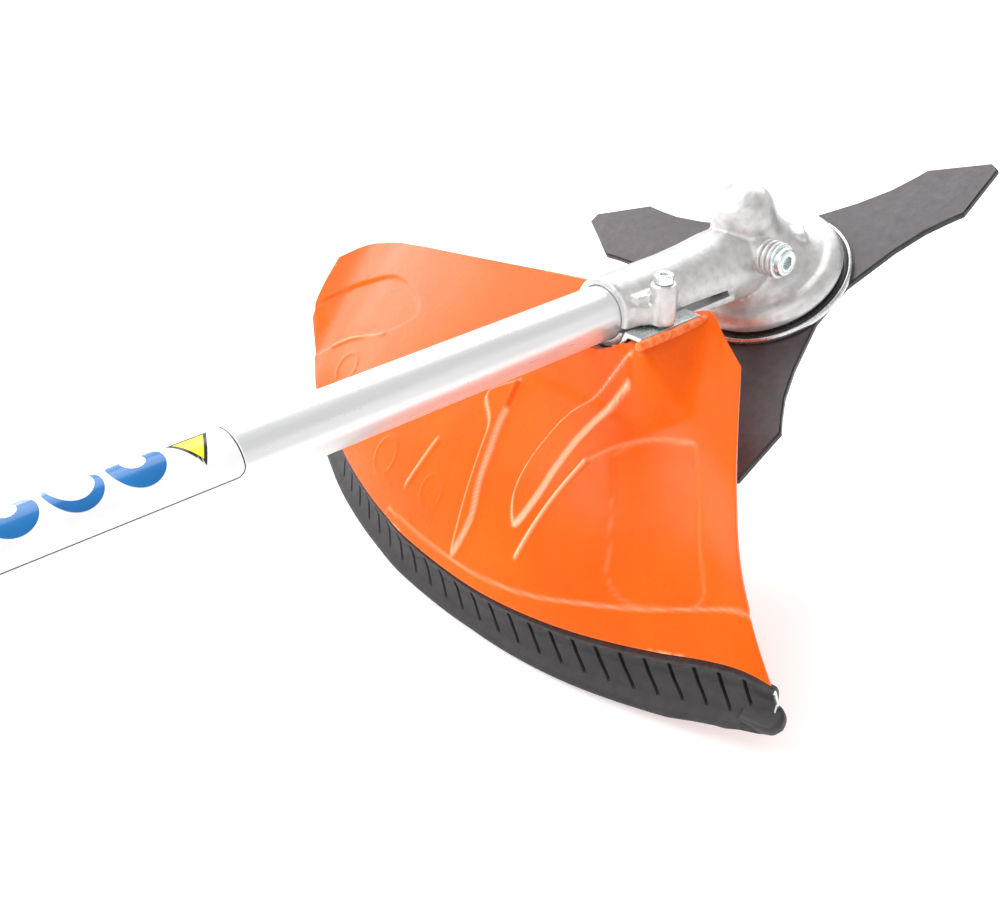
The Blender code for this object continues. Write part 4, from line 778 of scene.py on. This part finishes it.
def make_skirt_foot():
    """Thick rounded end of the strip, and the small blade set on edge in it."""
    length, dense = rim_track()
    start, outward = rim_place(length, dense, 0.0)
    along = np.array((outward[1], -outward[0], 0.0))
    outline = []
    for out, reach in ((0.0146, 0.014), (0.0150, 0.002), (0.0140, -0.0030), (0.0100, -0.0054),
                       (0.0055, -0.0052), (0.0020, -0.0024), (0.0008, 0.002), (0.0008, 0.014)):
        point = start + outward * out + along * reach
        outline.append((point[0], point[1]))
    low = start[2] + SKIRT_BASE - 0.0160
    foot = fine_piece("edge_strip_foot", prism(outline, low, low + 0.0062), "skirt", MACHINE, (),
                      40.0, HEAD)
    round_edges(foot, 0.0020, 4)
    profile = ((0.0000, -0.0006), (0.0016, -0.0012), (0.0030, -0.0076), (0.0098, -0.0128), (0.0092, -0.0138),
               (0.0014, -0.0088))
    flat = Matrix((outward, (0.0, 0.0, 1.0), -along)).transposed().to_4x4()
    place = Matrix.Translation(start + np.array((0.0, 0.0, SKIRT_BASE))) @ flat
    blade = fine_piece("line_trimmer_blade", prism(profile, -0.0004, 0.0008), "zinc", MACHINE,
                       ("line_cutter_knife",), 40.0, HEAD @ place)
    round_edges(blade, 0.0002, 2)


# ------------------------------------------------------------ gear head casting
def make_casting():
    """The housing as one casting, with every join blended, then its machined cuts."""
    dish = ((0.0, 0.0615), (0.0050, 0.0611), (0.0100, 0.0593), (0.0138, 0.0560), (0.0159, 0.0515),
            (0.0163, 0.0465), (0.0160, 0.0420), (0.0166, 0.0350), (0.0192, 0.0275), (0.0232, 0.0212),
            (0.0285, 0.0170), (0.0322, 0.0150), (0.0343, 0.0148), (0.0368, 0.0142), (0.0392, 0.0122),
            (0.0404, 0.0092), (0.0404, 0.0068), (0.0394, 0.0052), (0.0375, 0.0050),
            (0.0372, 0.0034), (0.0, 0.0034))
    housing = object_from("gear_head_casting", turned(dish, 64))
    collar = turned(((0.0, COLLAR_END), (0.0150, COLLAR_END), (0.0160, COLLAR_END - 0.0006),
                     (0.0164, COLLAR_END - 0.0018), (0.0164, COLLAR_END - 0.0036),
                     (COLLAR_RADIUS, COLLAR_END - 0.0060), (COLLAR_RADIUS, 0.066), (0.0170, 0.050),
                     (0.0184, 0.034), (0.0188, 0.018), (0.0180, 0.002), (0.0, 0.0)), 48)
    boolean(housing, collar, "UNION", TUBE)
    for side, top in ((-1, 0.0157), (1, -0.0008)):
        place = TUBE @ Matrix.Translation((0.0, side * SCREW_Y, SCREW_S))
        place = place @ Matrix.Rotation(math.pi / 2, 4, "Y")
        ear = turned(((0.0, top), (0.0061, top), (0.0061, -0.0036), (0.0, -0.0036)), 28)
        boolean(housing, ear, "UNION", place)
        high = 0.0062 if side < 0 else -0.0012
        for wide, inset in ((high, 0.0), (high + 0.0040, 0.0035)):
            outline = [(across * side, along) for across, along in (
                (0.0090, 0.0700), (0.0150, 0.0745 + inset), (0.0215 - inset, SCREW_S - 0.0050 + inset),
                (0.0215 - inset, SCREW_S + 0.0050 - inset), (0.0168, 0.1070 - inset), (0.0090, 0.1090))]
            flat = Matrix(((0, 0, 1, 0), (1, 0, 0, 0), (0, 1, 0, 0), (0, 0, 0, 1)))
            boolean(housing, prism(outline, -0.0032, wide), "UNION", TUBE @ flat)
    boss = turned(((0.0, 0.0240), (0.0070, 0.0240), (0.0074, 0.0170), (0.0092, 0.0140), (0.0112, -0.004),
                   (0.0, -0.004)), 32)
    boolean(housing, boss, "UNION", PLUG_PLACE)
    spine = ((-0.0030, -0.0040), (0.0255, -0.0040), (0.0255, 0.0040), (-0.0030, 0.0040))
    for turn in (-0.75, 0.75):
        boolean(housing, prism(spine, 0.0180, 0.0265), "UNION", Matrix.Rotation(turn, 4, "Z"))
    flange = block((-0.0098, -0.0188, 0.038), (-0.0056, 0.0188, 0.078))
    boolean(housing, flange, "UNION", TUBE)
    remesh = housing.modifiers.new("blend", "REMESH")
    remesh.mode = "VOXEL"
    remesh.voxel_size = 0.00085
    soften = housing.modifiers.new("soften", "SMOOTH")
    soften.factor = 0.5
    soften.iterations = 5
    settle(housing)
    boolean(housing, block((-0.0062, -0.0310, 0.0420), (-0.0036, -0.0002, 0.1150)), "DIFFERENCE", TUBE)
    bores = (
        (0.0034, 0.0300, 0.0175, PLUG_PLACE),
        (0.0213, 0.0180, 0.0010, Matrix.Identity(4)),
        (0.0131, 0.1150, 0.0400, TUBE),
    )
    for radius, high, low, place in bores:
        bore = turned(((0.0, high), (radius, high), (radius, low), (0.0, low)), 40)
        boolean(housing, bore, "DIFFERENCE", place)
    housing.data.transform(HEAD)
    dress(housing, 42.0, "cast")
    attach(housing, MACHINE)
    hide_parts("gearbox_housing")


def make_plug_boss():
    """Ridged end of the grease filler's boss."""
    outline = [(0.0040, 0.0266), (0.0070, 0.0266)]
    for k in range(3):
        low = 0.0246 - 0.0030 * k
        outline += [(0.0084, low + 0.0013), (0.0088, low + 0.0004), (0.0084, low - 0.0005),
                    (0.0073, low - 0.0013)]
    outline += [(0.0076, 0.0152), (0.0040, 0.0152)]
    fine_piece("plug_boss_rings", turned(outline, 48, True), "cast", MACHINE, (),
               50.0, HEAD @ PLUG_PLACE)


def make_plug():
    """Screw plug with its washer, rounded head and hexagon socket."""
    outline = ((0.0, 0.0180), (0.0030, 0.0180), (0.0030, 0.0267), (0.0082, 0.0267), (0.0087, 0.0270),
               (0.0087, 0.0279), (0.0083, 0.0282), (0.0071, 0.0283), (0.0071, 0.0303), (0.0066, 0.0312),
               (0.0058, 0.0316), (0.0050, 0.0316), (0.0046, 0.0313), (0.0, 0.0313))
    plug = object_from("filler_plug", turned(outline, 48))
    corners = [(0.0034 * math.cos(k * math.pi / 3), 0.0034 * math.sin(k * math.pi / 3)) for k in range(6)]
    boolean(plug, prism(corners, 0.0280, 0.0400), "DIFFERENCE")
    plug.data.transform(HEAD @ PLUG_PLACE)
    dress(plug, 40.0, "zinc")
    round_edges(plug, 0.0002, 2)
    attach(plug, MACHINE)
    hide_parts("grease_plug")


def make_holder_ring():
    """Plate above the knife, with a bright turned rim."""
    outline = ((0.0068, 0.0028), (0.0412, 0.0028), (0.0417, 0.0036), (0.0424, 0.0040), (0.0431, 0.0038),
               (0.0437, 0.0030), (0.0437, 0.0014), (0.0430, 0.0005), (0.0418, 0.0002),
               (0.0127, 0.0002), (0.0127, -0.0029), (0.0068, -0.0029))
    fine_piece("holder_ring", turned(outline, 72, True), "ground", "cutter", ("knife_holder_plate",),
               50.0, HEAD)


def make_painted_gap_shadow():
    """A dark turned ring of painted shadow that parts the housing's rim from the bright rim of the plate."""
    outline = ((0.0366, 0.0029), (0.0416, 0.0029), (0.0416, 0.0035), (0.0410, 0.0038), (0.0366, 0.0038))
    fine_piece("painted_gap_shadow", turned(outline, 72, True), "label_black", "cutter", (),
               30.0, HEAD)


# ------------------------------------------------------------ knife
KNIFE_RADIUS = 0.125
KNIFE_PHASE = math.radians(-31.2)
KNIFE_THICKNESS = 0.0035
KNIFE_BORE = 0.0130
# One side of a wing from the hub to the tip: along it and out from its middle, in knife radii.
WING_OUTLINE = ((0.25, 0.230), (0.48, 0.170), (0.62, 0.150), (0.72, 0.152), (0.785, 0.157), (0.999, 0.024))


def knife_outline():
    """The knife's three wings in plan, one after another round the axis."""
    wing_points = [(along * KNIFE_RADIUS, -wide * KNIFE_RADIUS) for along, wide in WING_OUTLINE]
    wing_points += [(x, -y) for x, y in reversed(wing_points)]
    outline = []
    for wing in range(3):
        middle = KNIFE_PHASE + 2 * math.pi * wing / 3
        for x, y in wing_points:
            outline.append((x * math.cos(middle) - y * math.sin(middle),
                            x * math.sin(middle) + y * math.cos(middle)))
    return outline


def make_knife():
    """Three wings: dark painted faces and darker ground edges."""
    knife = object_from("cutting_knife", prism(knife_outline(), -KNIFE_THICKNESS, 0.0))
    bore = turned(((0.0, 0.01), (KNIFE_BORE, 0.01), (KNIFE_BORE, -0.01), (0.0, -0.01)), 48)
    boolean(knife, bore, "DIFFERENCE")
    knife.data.transform(HEAD)
    dress(knife, 30.0, "knife", "knife_edge")
    axis = HEAD.to_3x3() @ Vector((0.0, 0.0, 1.0))
    for polygon in knife.data.polygons:
        if abs(polygon.normal.dot(axis)) < 0.5:
            polygon.material_index = 1
    bevel = knife.modifiers.new("ground_edge", "BEVEL")
    bevel.width = 0.0008
    bevel.segments = 2
    bevel.limit_method = "ANGLE"
    bevel.angle_limit = math.radians(60.0)
    bevel.material = 1
    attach(knife, "cutter")
    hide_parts("brush_knife")


# ------------------------------------------------------------ tube and label
LABEL_START = 0.3095
LABEL_END = 0.470
LABEL_LOW = -97.0
LABEL_HIGH = 60.0
LABEL_CORNER = 0.0045
NARROWEST = 0.00004


def wrapped(name, finish_name, start, end, girth, lift, columns=24, rows=24):
    """A thin patch wrapped on the tube. girth gives its lower and upper edge at a distance from its start."""
    points = []
    radius = TUBE_RADIUS + lift
    for k in range(columns + 1):
        reach = (end - start) * (0.5 - 0.5 * math.cos(math.pi * k / columns))
        low, high = girth(reach)
        high = max(high, low + NARROWEST)
        row = []
        for j in range(rows + 1):
            angle = (low + (high - low) * j / rows) / TUBE_RADIUS
            row.append((radius * math.cos(angle), radius * math.sin(angle), start + reach))
        points.append(row)
    return fine_piece(name, grid_shape(points), finish_name, MACHINE, (), 60.0, HEAD @ TUBE)


def rounded_patch(length, low, high, corner):
    """Edges of a rectangle with round corners."""
    def girth(reach):
        """Lower and upper edge, drawn in over each corner."""
        edge = max(0.0, corner - min(reach, length - reach))
        cut = corner - math.sqrt(max(corner**2 - edge**2, 0.0))
        return low + cut, high - cut
    return girth


def disc_patch(radius, middle):
    """Edges of a disc."""
    def girth(reach):
        """Lower and upper edge, either side of the disc's middle."""
        half = math.sqrt(max(radius**2 - (radius - reach) ** 2, 0.0))
        return middle - half, middle + half
    return girth


def triangle_patch(side, high):
    """Edges of a triangle pointing down the near side."""
    def girth(reach):
        """Lower edge, deepest in the middle, and the straight upper one."""
        depth = side * math.cos(math.pi / 6) * (1.0 - abs(2.0 * reach / side - 1.0))
        return high - depth, high
    return girth


def make_label():
    """A plain sticker: a thin border line, a yellow triangle and a row of blue discs with white middles."""
    low = math.radians(LABEL_LOW) * TUBE_RADIUS
    high = math.radians(LABEL_HIGH) * TUBE_RADIUS
    layers = (("label_margin", "label_white", -0.0006, 0.00005), ("label_line", "label_black", 0.0, 0.00009),
              ("label_face", "label_white", 0.0006, 0.00013))
    for name, finish_name, inset, lift in layers:
        start, end = LABEL_START + inset, LABEL_END - inset
        patch = rounded_patch(end - start, low + inset, high - inset, LABEL_CORNER - inset)
        wrapped(name, finish_name, start, end, patch, lift, 64, 40)
    for name, finish_name, inset, lift in (("label_triangle", "label_black", 0.0, 0.00017),
                                           ("label_triangle_face", "label_yellow", 0.0022, 0.00021)):
        start, end = 0.3155 + inset, 0.3330 - inset
        wrapped(name, finish_name, start, end, triangle_patch(end - start, 0.0030 - 0.6 * inset), lift)
    for k in range(5):
        middle = 0.3470 + 0.0245 * k
        inner = (0.0046, 0.0084)[k % 2]
        discs = ((0.0108, 0.00017, "label_blue"), (inner, 0.00021, "label_white"))
        for ring, (radius, lift, finish_name) in enumerate(discs):
            lean = 0.0022 * ring
            wrapped("label_disc_%d_%d" % (k, ring), finish_name, middle - radius, middle + radius,
                    disc_patch(radius, lean - 0.0009), lift)


def make_tube():
    """The long tube, smooth and open at both ends."""
    inner = TUBE_RADIUS - 0.0015
    node = NODES["drive_tube"]
    corners = [node.matrix_world @ Vector(corner) for corner in node.bound_box]
    back = HEAD @ TUBE
    reach = [(back.inverted() @ corner).z for corner in corners]
    low, high = min(reach), max(reach)
    step = 0.0004
    outline = ((inner, low + step), (inner + step, low), (TUBE_RADIUS - step, low), (TUBE_RADIUS, low + step),
               (TUBE_RADIUS, high - step), (TUBE_RADIUS - step, high), (inner + step, high),
               (inner, high - step))
    fine_piece("main_tube", turned(outline, 96, True), "tube", MACHINE, ("drive_tube",),
               30.0, back)


# ------------------------------------------------------------ carried-over nodes
NODE_FINISHES = {
    "cast": ("carburettor", "crankcase", "cylinder", "flywheel", "handlebar_clamp_base",
             "handlebar_clamp_cap", "piston"),
    "ground": ("bevel_pinion", "clamp_washer", "clutch_drum", "clutch_shoe_1", "clutch_shoe_2",
               "connecting_rod", "crank_pin", "crankshaft_front_half", "crankshaft_rear_half", "crown_gear",
               "drive_shaft", "lower_output_bearing", "output_shaft", "pinion_bearing",
               "upper_output_bearing"),
    "zinc": ("carburettor_throttle_lever", "carrying_ring", "carrying_ring_clamp", "guard_bracket",
             "guard_screw_left", "guard_screw_right", "knife_nut", "muffler"),
    "black": ("air_filter_cover", "choke_lever", "clamp_screw_knob", "clutch_housing", "control_grip",
              "fuel_cap", "handlebar", "ignition_coil", "starter_housing", "trigger_lockout_lever"),
    "rubber": ("left_grip", "shaft_bushing", "spark_plug_boot", "starter_grip"),
    "orange": ("engine_cover", "throttle_trigger"),
    "grey": ("starter_reel",),
    "red": ("stop_switch",),
    "foam": ("air_filter_element",),
    "ceramic": ("spark_plug",),
    "tank": ("fuel_tank", "primer_bulb"),
}
# Width of the rounding on edges, for nodes whose edges don't take the usual one.
USUAL_ROUNDING = 0.0005
ROUNDING = {"engine_cover": 0.0012, "fuel_tank": 0.0012, "clutch_housing": 0.0010, "starter_housing": 0.0010,
            "handlebar": 0.0, "left_grip": 0.0006, "carrying_ring": 0.0, "muffler": 0.0010,
            "crown_gear": 0.0, "bevel_pinion": 0.0}


def finish_nodes():
    """Gives each carried-over node its finish, smooth shading and rounded edges."""
    for finish_name, names in NODE_FINISHES.items():
        for name in names:
            node = NODES[name]
            for slot in node.material_slots:
                slot.material = FINISHES[finish_name]
            smooth_node(node, ROUNDING.get(name, USUAL_ROUNDING))


make_camera()
make_studio()
FINISHES = make_finishes()
SMOOTH = smooth_group()
finish_nodes()
make_guard()
make_guard_rails()
make_skirt()
make_skirt_foot()
make_casting()
make_plug_boss()
make_plug()
make_holder_ring()
make_painted_gap_shadow()
make_knife()
make_tube()
make_label()
